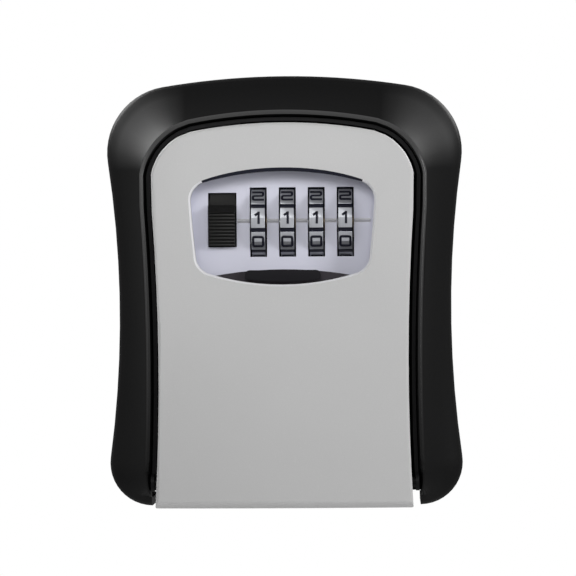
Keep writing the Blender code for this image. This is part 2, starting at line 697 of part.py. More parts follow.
def sill_cutter():
    """What rounds the door's lower front edge: all that lies outside a quarter round along it."""
    reach = DOOR_HALF_WIDTH + DOOR_DEPTH
    centre_y = DOOR_FRONT + DOOR_SILL_ROUND
    centre_z = DOOR_BASE_Z + DOOR_SILL_ROUND
    radius = DOOR_SILL_ROUND + FIT / 6
    first = (centre_y - radius, centre_z)
    last = (centre_y, centre_z - radius)
    corner = arc((centre_y, centre_z), first, last, CORNER_STEPS)
    outside = [
        (centre_y, DOOR_BASE_Z - DOOR_WALL),
        (DOOR_FRONT - DOOR_WALL, DOOR_BASE_Z - DOOR_WALL),
        (DOOR_FRONT - DOOR_WALL, centre_z),
    ]
    sections = [[Vector((x, y, z)) for y, z in corner + outside] for x in (-reach, reach)]
    return loft("door_sill", sections)


def make_door(pivot):
    """The painted door: a skin with rim walls, a bevelled window and posts for the dial plate."""
    door = prism("door_panel", closed_outline(DOOR), DOOR_FRONT, DOOR_FRONT + DOOR_DEPTH, DOOR_EDGE_ROUND)
    skin_back = DOOR_FRONT + DOOR_SKIN
    cut(door, sill_cutter())
    inside = closed_outline(DOOR, -DOOR_WALL)
    cut(door, prism("door_hollow", inside, skin_back, DOOR_FRONT + 2 * DOOR_DEPTH))
    window = closed_outline(WINDOW, -WINDOW_BEVEL)
    cut(door, prism("window_hole", window, DOOR_FRONT - DOOR_SKIN, skin_back + DOOR_SKIN))
    sections = []
    for grow in (WINDOW_BEVEL, -WINDOW_BEVEL):
        rim = closed_outline(WINDOW, grow)
        sections.append([Vector((x, DOOR_FRONT - grow, z)) for x, z in rim])
    cut(door, loft("window_bevel", sections))
    for x, z in post_places():
        length = PLATE_FRONT - skin_back
        join(door, rod("post", (x, skin_back - FIT, z), (0, 1, 0), PLATE_POST_RADIUS, length))
        bore_start = (x, skin_back + FIT, z)
        cut(door, rod("post_bore", bore_start, (0, 1, 0), SCREW_HOLE, DOOR_DEPTH, steps=HOLE_STEPS))
    reach = DOOR_HALF_WIDTH + DOOR_DEPTH
    cut(door, rod("door_bore", (-reach, HINGE_Y, HINGE_Z), (1, 0, 0), HINGE_PIN_RADIUS + FIT, 2 * reach))
    return make_part(door, "painted_grey", pivot)


def slide_slot():
    """The opening that the thumb slide runs in: x pair and z pair."""
    half = SLIDE_WIDTH / 2 + FIT
    top = SLIDE_LOW_Z + SLIDE_HEIGHT + SLIDE_TRAVEL + FIT
    return (SLIDE_X - half, SLIDE_X + half), (SLIDE_LOW_Z - FIT, top)


def cover_post_places():
    """The four corner posts of the lock cover."""
    inset = COVER_WALL + COVER_POST_RADIUS / 2
    xs = (COVER_LEFT + inset, COVER_RIGHT - inset)
    zs = (COVER_LOW_Z + inset, COVER_TOP_Z - inset)
    return [(x, z) for z in zs for x in xs]


def make_dial_plate(pivot):
    """The recessed plate: slots for dials and slide, shutter rails in front, shaft lugs behind."""
    outline = limited(closed_outline(DOOR, -DOOR_WALL - FIT), low=PLATE_LOW_Z, high=PLATE_TOP_Z)
    plate = prism("dial_plate", outline, PLATE_FRONT, PLATE_BACK)
    rail_z = (SHUTTER_TOP_Z - SHUTTER_HEIGHT, WINDOW_TOP_Z)
    for side in (-1, 1):
        edge = side * (SHUTTER_HALF_WIDTH + FIT)
        rail_x = sorted((edge - side * RAIL_WIDTH, edge + side * RAIL_WIDTH))
        cheek_x = sorted((edge, edge + side * RAIL_WIDTH))
        join(plate, block(f"rail_{side}", rail_x, (SHUTTER_BACK + FIT, PLATE_FRONT + FIT), rail_z))
        join(plate, block(f"cheek_{side}", cheek_x, (SHUTTER_FRONT, PLATE_FRONT + FIT), rail_z))
    half_chord = math.sqrt(DIAL_RADIUS**2 - (DIAL_AXIS_Y - PLATE_BACK) ** 2) + FIT
    through = (PLATE_FRONT - DIAL_PROUD, PLATE_BACK + FIT)
    for x in DIAL_X:
        half = DIAL_WIDTH / 2 + DIAL_SIDE_GAP
        z = (DIAL_AXIS_Z - half_chord, DIAL_AXIS_Z + half_chord)
        cut(plate, block("dial_slot", (x - half, x + half), through, z))
    slot_x, slot_z = slide_slot()
    cut(plate, block("slide_slot", slot_x, through, slot_z))
    for x in (LUG_LEFT_X, LUG_RIGHT_X):
        z = (DIAL_AXIS_Z - SHAFT_RADIUS - LUG_DEPTH, LUG_TOP_Z)
        join(plate, block("lug", (x, x + LUG_WIDTH), (PLATE_BACK - FIT, LUG_BACK), z))
    start = (LUG_LEFT_X - FIT, DIAL_AXIS_Y, DIAL_AXIS_Z)
    bore_length = LUG_RIGHT_X + LUG_WIDTH - LUG_LEFT_X + 2 * FIT
    cut(plate, rod("shaft_bore", start, (1, 0, 0), BORE_RADIUS, bore_length))
    for x, z in post_places():
        start = (x, PLATE_FRONT - FIT, z)
        depth = PLATE_THICKNESS + 2 * FIT
        cut(plate, rod("plate_hole", start, (0, 1, 0), SCREW_HOLE, depth, steps=HOLE_STEPS))
    for x, z in cover_post_places():
        start = (x, PLATE_FRONT + FIT, z)
        cut(plate, rod("cover_hole", start, (0, 1, 0), SCREW_HOLE, PLATE_THICKNESS, steps=HOLE_STEPS))
    make_part(plate, "plate_lavender", pivot)
    for index, (x, z) in enumerate(post_places()):
        length = PLATE_THICKNESS + PLATE_FRONT - SHUTTER_FRONT
        screw(f"plate_screw_{index + 1}", (x, PLATE_BACK + FIT, z), (0, -1, 0), length, pivot)


def make_lock_cover(pivot):
    """The cover over the lock: a tray with corner posts, an opening for the bolt and a reset slot."""
    depth = (COVER_FRONT, COVER_BACK)
    cover = block("lock_cover", (COVER_LEFT, COVER_RIGHT), depth, (COVER_LOW_Z, COVER_TOP_Z))
    inside_x = (COVER_LEFT + COVER_WALL, COVER_RIGHT - COVER_WALL)
    inside_z = (COVER_LOW_Z + COVER_WALL, COVER_TOP_Z - COVER_WALL)
    cut(cover, block("cover_hollow", inside_x, (COVER_FRONT - COVER_WALL, COVER_INSIDE), inside_z))
    height = COVER_BACK - COVER_FRONT
    sink = SCREW_HEAD_HEIGHT + FIT
    for x, z in cover_post_places():
        join(cover, rod("cover_post", (x, COVER_FRONT, z), (0, 1, 0), COVER_POST_RADIUS, height - FIT))
        start = (x, COVER_FRONT - FIT, z)
        cut(cover, rod("cover_bore", start, (0, 1, 0), SCREW_HOLE, height + 2 * FIT, steps=HOLE_STEPS))
        cut(cover, rod("cover_sink", (x, COVER_BACK - sink, z), (0, 1, 0), SCREW_HEAD + FIT, sink + FIT))
    half = BOLT_WIDTH / 2 + FIT
    bolt_y = (BOLT_FRONT - FIT, BOLT_BACK + FIT)
    bolt_z = (inside_z[1] - FIT, COVER_TOP_Z + FIT)
    cut(cover, block("bolt_slot", (SLIDE_X - half, SLIDE_X + half), bolt_y, bolt_z))
    slot_x = (reset_x() - RESET_WIDTH / 2 - FIT, reset_x() + RESET_WIDTH / 2 + RESET_TRAVEL + FIT)
    slot_z = (reset_z() - RESET_HEIGHT / 2 - FIT, reset_z() + RESET_HEIGHT / 2 + FIT)
    cut(cover, block("reset_slot", slot_x, (COVER_INSIDE - FIT, COVER_BACK + FIT), slot_z))
    make_part(cover, "cover_grey", pivot)
    for index, (x, z) in enumerate(cover_post_places()):
        head = (x, COVER_BACK - SCREW_HEAD_HEIGHT, z)
        length = COVER_BACK - SCREW_HEAD_HEIGHT - PLATE_FRONT - 2 * FIT
        screw(f"cover_screw_{index + 1}", head, (0, -1, 0), length, pivot)


def make_shaft(pivot):
    """The shaft that carries the dials, held in the plate's two lugs."""
    start = (LUG_LEFT_X, DIAL_AXIS_Y, DIAL_AXIS_Z)
    shaft = rod("dial_shaft", start, (1, 0, 0), SHAFT_RADIUS, LUG_RIGHT_X + LUG_WIDTH - LUG_LEFT_X)
    make_part(shaft, "steel", pivot)


def make_fence(pivot):
    """The fence: a bar on top of the lugs, with a finger over the gate of each code cam."""
    y = (DIAL_AXIS_Y - FENCE_THICKNESS / 2, DIAL_AXIS_Y + FENCE_THICKNESS / 2)
    fence = block("fence_bar", (LUG_LEFT_X, LUG_RIGHT_X + LUG_WIDTH), y, (FENCE_LOW_Z, FENCE_TOP_Z))
    for index, x in enumerate(CAM_X):
        middle = x + CAM_WIDTH / 2
        tip = DIAL_AXIS_Z + CAM_RADIUS + FIT
        finger = (middle - FENCE_FINGER / 2, middle + FENCE_FINGER / 2)
        join(fence, block(f"finger_{index}", finger, y, (tip, FENCE_LOW_Z + FIT)))
    make_part(fence, "brass", pivot)


def make_click_spring(pivot):
    """A leaf comb on the back of the plate, with one finger under each dial."""
    leaf_top = DIAL_AXIS_Z - DIAL_RADIUS - DIAL_RUN / 2
    base_y = (PLATE_BACK + FIT, PLATE_BACK + FIT + CLICK_LEAF)
    across = (DIAL_X[0] - DIAL_WIDTH, DIAL_X[-1] + DIAL_WIDTH)
    comb = block("click_spring", across, base_y, (leaf_top - CLICK_FLANGE, leaf_top))
    for index, x in enumerate(DIAL_X):
        finger = (x - CLICK_FINGER_WIDTH / 2, x + CLICK_FINGER_WIDTH / 2)
        reach = (base_y[1] - CLICK_LEAF / 2, DIAL_AXIS_Y + DIAL_GROOVE_WIDTH)
        join(comb, block(f"click_{index}", finger, reach, (leaf_top - CLICK_LEAF, leaf_top)))
    make_part(comb, "steel", pivot)


def dial_outline():
    """The ring of ten flat faces with a groove between each two, about the dial's axis."""
    points = []
    step = 2 * math.pi / DIAL_DIGITS
    half_groove = math.asin(DIAL_GROOVE_WIDTH / 2 / DIAL_RADIUS)
    for index in range(DIAL_DIGITS):
        groove = step * (index + 0.5) + DIAL_READING_TURN
        for turn, radius in (
            (groove - half_groove, DIAL_RADIUS),
            (groove - half_groove * 0.4, DIAL_RADIUS - DIAL_GROOVE_DEPTH),
            (groove + half_groove * 0.4, DIAL_RADIUS - DIAL_GROOVE_DEPTH),
            (groove + half_groove, DIAL_RADIUS),
        ):
            points.append((-radius * math.cos(turn), radius * math.sin(turn)))
        middle = groove + step / 2
        points.append((-DIAL_RADIUS * math.cos(middle), DIAL_RADIUS * math.sin(middle)))
    return points


def make_dial(index, pivot):
    """One number dial: ten faces with grooves, bored for its code cam's sleeve."""
    x = DIAL_X[index]
    sections = []
    for place in (x - DIAL_WIDTH / 2, x + DIAL_WIDTH / 2):
        sections.append([Vector((place, DIAL_AXIS_Y + y, DIAL_AXIS_Z + z)) for y, z in dial_outline()])
    dial = loft(f"dial_{index + 1}", sections)
    start = (x - DIAL_WIDTH, DIAL_AXIS_Y, DIAL_AXIS_Z)
    cut(dial, rod(f"dial_bore_{index}", start, (1, 0, 0), DIAL_BORE, 2 * DIAL_WIDTH))
    make_part(dial, "dial_silver", pivot)


def make_code_cam(index, pivot):
    """One code cam: a disc with a gate at the top, on a sleeve that sits in its dial."""
    x = CAM_X[index]
    cam = rod(f"code_cam_{index + 1}", (x, DIAL_AXIS_Y, DIAL_AXIS_Z), (1, 0, 0), CAM_RADIUS, CAM_WIDTH)
    sleeve_start = (x + FIT, DIAL_AXIS_Y, DIAL_AXIS_Z)
    join(cam, rod(f"sleeve_{index}", sleeve_start, (-1, 0, 0), SLEEVE_RADIUS, CAM_SLEEVE_LENGTH + 2 * FIT))
    bore_start = (x - DIAL_WIDTH, DIAL_AXIS_Y, DIAL_AXIS_Z)
    cut(cam, rod(f"cam_bore_{index}", bore_start, (1, 0, 0), BORE_RADIUS, DIAL_WIDTH + 2 * CAM_WIDTH))
    gate_y = (DIAL_AXIS_Y - GATE_WIDTH / 2, DIAL_AXIS_Y + GATE_WIDTH / 2)
    gate_z = (DIAL_AXIS_Z + CAM_RADIUS - GATE_DEPTH, DIAL_AXIS_Z + CAM_RADIUS + GATE_DEPTH)
    cut(cam, block(f"gate_{index}", (x - FIT / 2, x + CAM_WIDTH + FIT), gate_y, gate_z))
    make_part(cam, "brass", pivot)


def make_thumb_slide(pivot):
    """The ribbed grip with its neck, the flange and apron behind the plate, and the bolt's stem."""
    half = SLIDE_WIDTH / 2
    top = SLIDE_LOW_Z + SLIDE_HEIGHT
    neck_back = (FLANGE_FRONT + FLANGE_BACK) / 2
    profile = [(neck_back, SLIDE_LOW_Z)]
    front = PLATE_FRONT - SLIDE_PROUD
    pitch = (SLIDE_HEIGHT - SLIDE_BROW) / SLIDE_RIBS
    for rib in range(SLIDE_RIBS):
        z = SLIDE_LOW_Z + pitch * rib
        profile += [(front, z), (front, z + pitch * SLIDE_RIB_LAND)]
        profile.append((front + SLIDE_RIB_DEPTH, z + pitch * SLIDE_RIB_FLANK))
    profile.append((front - SLIDE_RIB_DEPTH, top - SLIDE_BROW))
    profile += [(PLATE_FRONT - SLIDE_PROUD / 3, top), (neck_back, top)]
    sections = [[Vector((x, y, z)) for y, z in profile] for x in (SLIDE_X - half, SLIDE_X + half)]
    slide = loft("thumb_slide", sections)
    flange_x = (SLIDE_X - half - FLANGE_MARGIN, SLIDE_X + half + FLANGE_MARGIN)
    flange_z = (SLIDE_LOW_Z - FLANGE_MARGIN, top + FLANGE_MARGIN)
    flange_y = (FLANGE_FRONT, FLANGE_BACK)
    join(slide, block("slide_flange", flange_x, flange_y, flange_z))
    apron_z = (flange_z[1] - FIT, slide_slot()[1][1] + FIT)
    join(slide, block("slide_apron", (SLIDE_X - half, SLIDE_X + half), flange_y, apron_z))
    stem_x = (SLIDE_X - STEM_WIDTH / 2, SLIDE_X + STEM_WIDTH / 2)
    stem_z = (STEM_Z - STEM_HEIGHT / 2, STEM_Z + STEM_HEIGHT / 2)
    join(slide, block("slide_stem", stem_x, (FLANGE_BACK - FIT, STEM_BACK), stem_z))
    start = (SLIDE_X, BOLT_BACK + FIT, STEM_Z)
    depth = BOLT_THICKNESS + STEM_LENGTH
    cut(slide, rod("stem_bore", start, (0, -1, 0), SCREW_HOLE, depth, steps=HOLE_STEPS))
    make_part(slide, "black_plastic", pivot)


def make_latch_bolt(pivot):
    """The latch bolt on the slide's stem: it runs up out of the cover towards the keeper."""
    across = (SLIDE_X - BOLT_WIDTH / 2, SLIDE_X + BOLT_WIDTH / 2)
    bolt = block("latch_bolt", across, (BOLT_FRONT, BOLT_BACK), (STEM_Z - STEM_HEIGHT / 2, BOLT_TOP_Z))
    start = (SLIDE_X, BOLT_BACK + FIT, STEM_Z)
    cut(bolt, rod("bolt_hole", start, (0, -1, 0), SCREW_HOLE, BOLT_THICKNESS + 2 * FIT, steps=HOLE_STEPS))
    make_part(bolt, "steel", pivot)
    head = (SLIDE_X, BOLT_BACK + FIT, STEM_Z)
    screw("bolt_screw", head, (0, -1, 0), BOLT_THICKNESS + STEM_LENGTH - FIT, pivot)


def make_slide_spring(pivot):
    """The coil that pushes the thumb slide up, standing on the cover's floor under the stem."""
    low = COVER_LOW_Z + COVER_WALL + SPRING_WIRE + FIT
    high = STEM_Z - STEM_HEIGHT / 2 - SPRING_WIRE - FIT
    steps = SPRING_TURNS * 10
    curve = bpy.data.curves.new("slide_spring", "CURVE")
    curve.dimensions = "3D"
    curve.bevel_depth = SPRING_WIRE
    curve.bevel_resolution = 1
    curve.use_fill_caps = True
    coil = curve.splines.new("POLY")
    coil.points.add(steps)
    middle_y = (FLANGE_BACK + STEM_BACK) / 2
    for step, point in enumerate(coil.points):
        turn = 2 * math.pi * SPRING_TURNS * step / steps
        z = low + (high - low) * step / steps
        x = SLIDE_X + SPRING_RADIUS * math.cos(turn)
        point.co = (x, middle_y + SPRING_RADIUS * math.sin(turn), z, 1.0)
    spring = bpy.data.objects.new("slide_spring", curve)
    PARTS.objects.link(spring)
    curve.materials.append(MATERIALS["steel"])
    spring.parent = pivot
    spring.matrix_parent_inverse = Matrix.Translation(pivot.location).inverted()
    gap = (high - low) / SPRING_TURNS - 2 * SPRING_WIRE
    print(f"slide spring: least gap between turns {gap / MM:.2f} mm")


def make_shutter(pivot):
    """The dust shutter: a flat leaf with an arched top edge and a finger tab that stands in the window."""
    base_z = SHUTTER_TOP_Z - SHUTTER_HEIGHT
    sag = SHUTTER_TOP_RADIUS - math.sqrt(SHUTTER_TOP_RADIUS**2 - SHUTTER_HALF_WIDTH**2)
    right = (SHUTTER_HALF_WIDTH, SHUTTER_TOP_Z - sag)
    left = (-SHUTTER_HALF_WIDTH, SHUTTER_TOP_Z - sag)
    arched = arc((0.0, SHUTTER_TOP_Z - SHUTTER_TOP_RADIUS), right, left, 2 * TOP_STEPS)
    outline = [(-SHUTTER_HALF_WIDTH, base_z), (SHUTTER_HALF_WIDTH, base_z)] + arched
    shutter = prism("dust_shutter", outline, SHUTTER_FRONT, SHUTTER_BACK)
    sill = WINDOW_BASE_RADIUS - WINDOW_BEVEL
    sill_centre = (0.0, WINDOW_BASE_Z + WINDOW_BASE_RADIUS)
    drop = sill - math.sqrt(sill**2 - TAB_HALF_WIDTH**2)
    low_z = sill_centre[1] - sill + FIT
    top_z = SHUTTER_TOP_Z - TAB_BELOW_TOP
    tab_sides = ((-TAB_HALF_WIDTH, low_z + drop), (TAB_HALF_WIDTH, low_z + drop))
    tab = arc((0.0, sill_centre[1] + FIT), *tab_sides, TOP_STEPS)
    right_corner = (TAB_HALF_WIDTH - TAB_CORNER, top_z - TAB_CORNER)
    tab += arc(right_corner, (TAB_HALF_WIDTH, right_corner[1]), (right_corner[0], top_z), 3)
    tab += [(-x, z) for x, z in reversed(tab[-4:])]
    join(shutter, prism("shutter_tab", tab, SHUTTER_FRONT - TAB_STANDS, SHUTTER_BACK - FIT))
    make_part(shutter, "black_plastic", pivot)


def reset_x():
    """The reset lever's place at rest: left of the dials, behind the bolt."""
    return SLIDE_X - RESET_TRAVEL / 2


def reset_z():
    """The reset lever's height: under the bolt's screw."""
    return STEM_Z - STEM_HEIGHT


def make_reset_lever(pivot):
    """The reset lever: a small knob through the cover's back, with a flange inside."""
    x = (reset_x() - RESET_WIDTH / 2, reset_x() + RESET_WIDTH / 2)
    z = (reset_z() - RESET_HEIGHT / 2, reset_z() + RESET_HEIGHT / 2)
    flange_y = (COVER_INSIDE - FIT - RESET_THICKNESS, COVER_INSIDE - FIT)
    lever = block("reset_lever", x, (flange_y[0], COVER_BACK + RESET_PROUD), z)
    wide_x = (x[0] - RESET_FLANGE, x[1] + RESET_FLANGE)
    wide_z = (z[0] - RESET_FLANGE, z[1] + RESET_FLANGE)
    join(lever, block("reset_flange", wide_x, flange_y, wide_z))
    make_part(lever, "black_plastic", pivot)


def main():
    """Build the housing, then the door and everything on it."""
    housing = make_pivot("housing_origin", (0.0, 0.0, 0.0))
    make_tray(housing)
    make_bezel(housing)
    make_bezel_screws(housing)
    make_keeper(housing)
    make_hinge_pin(housing)
    door = make_pivot("door_hinge_axis", (0.0, HINGE_Y, HINGE_Z))
    make_door(door)
    make_dial_plate(door)
    make_lock_cover(door)
    make_shaft(door)
    make_fence(door)
    make_click_spring(door)
    make_slide_spring(door)
    for index, x in enumerate(DIAL_X):
        dial = make_pivot(f"dial_axis_{index + 1}", (x, DIAL_AXIS_Y, DIAL_AXIS_Z))
        make_dial(index, dial)
        make_code_cam(index, dial)
    slide = make_pivot("slide_origin", (SLIDE_X, PLATE_FRONT, STEM_Z))
    make_thumb_slide(slide)
    make_latch_bolt(slide)
    make_shutter(make_pivot("shutter_origin", (0.0, SHUTTER_FRONT, SHUTTER_TOP_Z)))
    make_reset_lever(make_pivot("reset_origin", (reset_x(), COVER_BACK, reset_z())))


main()
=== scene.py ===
"""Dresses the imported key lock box: softened edges, finishes, dial numbers and a studio stage.

Lengths are in metres, in the part's own frame: +Z up, the front of the door faces -Y, the wall is y = 0.
"""
import json
import math
from collections import namedtuple

import bmesh
import bpy
from mathutils import Matrix, Vector


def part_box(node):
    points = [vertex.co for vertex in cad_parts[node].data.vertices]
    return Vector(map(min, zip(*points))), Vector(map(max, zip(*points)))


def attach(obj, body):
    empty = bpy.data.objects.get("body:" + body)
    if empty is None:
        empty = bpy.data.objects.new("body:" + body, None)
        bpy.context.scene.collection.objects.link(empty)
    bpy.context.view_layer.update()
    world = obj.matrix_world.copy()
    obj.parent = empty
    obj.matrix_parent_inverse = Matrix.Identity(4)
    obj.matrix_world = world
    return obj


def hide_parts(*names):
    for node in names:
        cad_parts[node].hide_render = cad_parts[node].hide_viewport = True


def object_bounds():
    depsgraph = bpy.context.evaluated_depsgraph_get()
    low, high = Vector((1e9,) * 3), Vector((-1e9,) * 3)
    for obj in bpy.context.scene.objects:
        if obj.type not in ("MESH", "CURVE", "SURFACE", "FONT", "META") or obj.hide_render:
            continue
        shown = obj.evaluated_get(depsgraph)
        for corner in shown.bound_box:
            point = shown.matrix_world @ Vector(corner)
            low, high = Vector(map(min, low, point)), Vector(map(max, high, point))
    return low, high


bl_info = {
    "name": "Key Lock Box Dressing",
    "version": (1, 0, 0),
    "blender": (4, 5, 0),
    "location": "View3D > Sidebar > Key Lock Box",
    "description": "Finishes, dial numbers and a studio stage for the packed key lock box",
    "category": "Object",
}

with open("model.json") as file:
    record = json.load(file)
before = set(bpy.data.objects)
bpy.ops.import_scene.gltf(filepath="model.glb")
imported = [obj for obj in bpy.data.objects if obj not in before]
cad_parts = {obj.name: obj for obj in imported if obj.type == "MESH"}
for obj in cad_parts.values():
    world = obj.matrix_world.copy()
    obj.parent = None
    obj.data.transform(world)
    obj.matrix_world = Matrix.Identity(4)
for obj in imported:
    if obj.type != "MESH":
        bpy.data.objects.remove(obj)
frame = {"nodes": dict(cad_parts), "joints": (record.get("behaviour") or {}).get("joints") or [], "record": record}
CAD_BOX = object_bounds()

RECORD = frame["record"]
JOINTS = {joint["name"]: joint for joint in frame["joints"]}
BODY_OF = {node: body for body, nodes in RECORD["behaviour"]["bodies"].items() for node in nodes}

# Ten numbers stand round each dial, and the one that reads at rest is turned a little upwards.
DIAL_NUMBERS = range(1, 5)
DIAL_AXIS_Z = JOINTS["dial_1_turn"]["pos_m"][2]
DIGIT_COUNT = 10
DIGIT_STEP = 2 * math.pi / DIGIT_COUNT
READING_DIGIT = 1
READING_TURN = math.radians(6.0)

# The numbers' strokes on a unit cell, from its lower left corner; a free end reaches past the cell.
CELL_MIDDLE = 0.5
END = 0.11
BOX = ((0, 0), (1, 0), (1, 1), (0, 1), (0, 0))
DIGIT_STROKES = {
    0: [BOX],
    1: [((0.58, 1 + END), (0.58, -END)), ((0.2, 0.74), (0.6, 1.02))],
    2: [((-END, 1), (1, 1), (1, 0.5), (0, 0.5), (0, 0), (1 + END, 0))],
    3: [((-END, 1), (1, 1), (1, 0), (-END, 0)), ((0.2, 0.5), (1, 0.5))],
    4: [((0.75, -END), (0.75, 1)), ((0.75, 1), (0, 0.3)), ((0, 0.3), (1 + END, 0.3))],
    5: [((1 + END, 1), (0, 1), (0, 0.52), (1, 0.52), (1, 0), (-END, 0))],
    6: [((1 + END, 1), (0, 1), (0, 0), (1, 0), (1, 0.52), (0, 0.52))],
    7: [((-END, 1), (1, 1)), ((1, 1), (0.4, -END))],
    8: [BOX, ((0, 0.5), (1, 0.5))],
    9: [((-END, 0), (1, 0), (1, 1), (0, 1), (0, 0.48), (1, 0.48))],
}
DIGIT_CORNER_POINTS = 4
DIGIT_SIZES = ("Radius", "Digit Width", "Digit Height", "Stroke", "Corner", "Relief")

# The CAD's upper door corner: its centre, its radius, the way its middle leans and half of its arc,
# then where the easing of it fades out inwards, outwards and towards the wall.
CORNER_X = 0.0253
CORNER_Z = 0.0310
CORNER_RADIUS = 0.010
CORNER_LEAN = math.radians(36.4)
CORNER_REACH = math.radians(41.4)
CORNER_INNER_FADE = (-0.008, -0.003)
CORNER_OUTER_FADE = (0.0105, 0.005)
CORNER_DEPTH_FADE = (-0.014, -0.026)
CORNERED_NODES = {"door_panel", "outer_bezel", "housing_tray", "dial_plate"}

WELD_DISTANCE = 1e-6
FLAT_ANGLE = math.radians(0.6)
SMOOTH_ANGLE = math.radians(32)
EDGE_SEGMENTS = 2
MAIN_FINISH = 0

WHITE = (1.0, 1.0, 1.0, 1.0)
BLACK = (0.0, 0.0, 0.0, 1.0)

# Noise: its scales in steps per metre, and its detail.
PAINT_SPECKLE = 2600.0
PAINT_FLECK = 1500.0
PAINT_CLOUD = 28.0
SURROUND_GRAIN = 2600.0
TRAY_GRAIN = 1500.0
COVER_GRAIN = 2200.0
GRIP_GRAIN = 3000.0
MOULDING_CLOUD = 35.0
SATIN_CLOUD = 60.0
SATIN_GRAIN = 3200.0
METAL_CLOUD = 90.0
INK_GRAIN = 2400.0
FLOOR_CLOUD = 6.0
COARSE_DETAIL = 1.0
SOFT_DETAIL = 2.0
FINE_DETAIL = 3.0
LINE_DETAIL = 4.0

# Scales along X, Y and Z of the lines on drawn and turned metal.
DIAL_LINES = (5200.0, 90.0, 90.0)
STEEL_LINES = (260.0, 2600.0, 700.0)
BRASS_LINES = (4200.0, 300.0, 300.0)

# Shares of the stronger pattern where two are added.
SPECKLE_SHARE = 0.6
SATIN_CLOUD_SHARE = 0.7
LINE_SHARE = 0.7

# Pale flecks in the paint: where the noise shows them, and how much.
FLECK_STOPS = [(0.62, 0.0), (0.78, 1.0)]
FLECK_SHARE = 0.12
FLECK_TONE = 1.35

# What a pattern raises: the least, then the spread above it.
PAINT_ROUGHNESS = (0.46, 0.16)
SATIN_ROUGHNESS = (0.34, 0.12)
INK_ROUGHNESS = (0.42, 0.2)
CREST_ROUGHNESS = (0.4, 0.1)
SURROUND_SHINE = (0.15, 0.06)
SKIN_SHINE = (0.8, 0.4)
GRAIN_ROUGHNESS = 0.14
CLOUD_ROUGHNESS = 0.05
LINE_ROUGHNESS = 0.18

# Grain as relief: strength, then depth.
PAINT_RELIEF = (0.25, 0.00004)
MOULDING_RELIEF = (0.18, 0.00004)
SATIN_RELIEF = (0.12, 0.00003)
LINE_DEPTH = 0.00002

# Tones of a finish's own colour, from its darkest to its lightest.
PAINT_TONES = (0.93, 1.07)
MOULDING_TONES = (0.85, 1.2)
SATIN_TONES = (0.94, 1.05)
METAL_TONES = (0.8, 1.12)
INK_TONES = (0.7, 1.6)
FLOOR_TONES = (0.99, 1.01)

# Where the surround carries a painted sheen in place of lamp highlights: the corners by their direction, the front
# by its depth, then left and right, and the crest by its height. Stops are places along a span and the shine
# there.
TINY = 1e-6
FRONT_SPAN = (-0.02, -0.03)
BOX_SPAN = (-0.05, 0.05)
PAINTED_CORNER_SHEEN = [(0.1, 0.0), (0.5, 0.35), (0.95, 1.0)]
PAINTED_FRONT_SHEEN = [(0.42, 0.0), (0.72, 1.0)]
PAINTED_SIDE_SHEEN = [(0.4, 0.85), (0.6, 0.6)]
PAINTED_CREST_SHEEN = [(0.0, 0.18), (0.45, 0.55), (0.8, 1.0)]

Lamp = namedtuple("Lamp", "name place width height power")


class LockBoxSizes(bpy.types.PropertyGroup):
    """Sizes of the dressing that a user would change."""

    door_edge: bpy.props.FloatProperty(
        name="Door Edge",
        description="Softening of the door's edges",
        default=0.0002,
        unit="LENGTH",
    )
    door_corner: bpy.props.FloatProperty(
        name="Door Corner",
        description="Radius of the door's upper corners",
        default=0.0147,
        unit="LENGTH",
    )
    moulded_edge: bpy.props.FloatProperty(
        name="Moulded Edge",
        description="Softening of moulded pieces' edges",
        default=0.00022,
        unit="LENGTH",
    )
    fine_edge: bpy.props.FloatProperty(
        name="Fine Edge",
        description="Softening of small metal pieces' edges",
        default=0.00012,
        unit="LENGTH",
    )
    dial_edge: bpy.props.FloatProperty(
        name="Dial Edge",
        description="Softening of the dials' edges",
        default=0.0001,
        unit="LENGTH",
    )
    digit_width: bpy.props.FloatProperty(
        name="Digit Width",
        description="Width of the dials' numbers between strokes",
        default=0.00265,
        unit="LENGTH",
    )
    digit_height: bpy.props.FloatProperty(
        name="Digit Height",
        description="Height of the dials' numbers between strokes",
        default=0.0027,
        unit="LENGTH",
    )
    digit_stroke: bpy.props.FloatProperty(
        name="Digit Stroke",
        description="Width of the numbers' strokes",
        default=0.00062,
        unit="LENGTH",
    )
    digit_corner: bpy.props.FloatProperty(
        name="Digit Corner",
        description="Radius of the numbers' corners",
        default=0.0004,
        unit="LENGTH",
    )
    digit_relief: bpy.props.FloatProperty(
        name="Digit Relief",
        description="Thickness of a number as a share of its stroke",
        default=0.16,
    )
    index_height: bpy.props.FloatProperty(
        name="Index Height",
        description="Height of the index ridge on the dial plate",
        default=0.0011,
        unit="LENGTH",
    )
    index_relief: bpy.props.FloatProperty(
        name="Index Relief",
        description="How far the index ridge stands proud",
        default=0.0008,
        unit="LENGTH",
    )


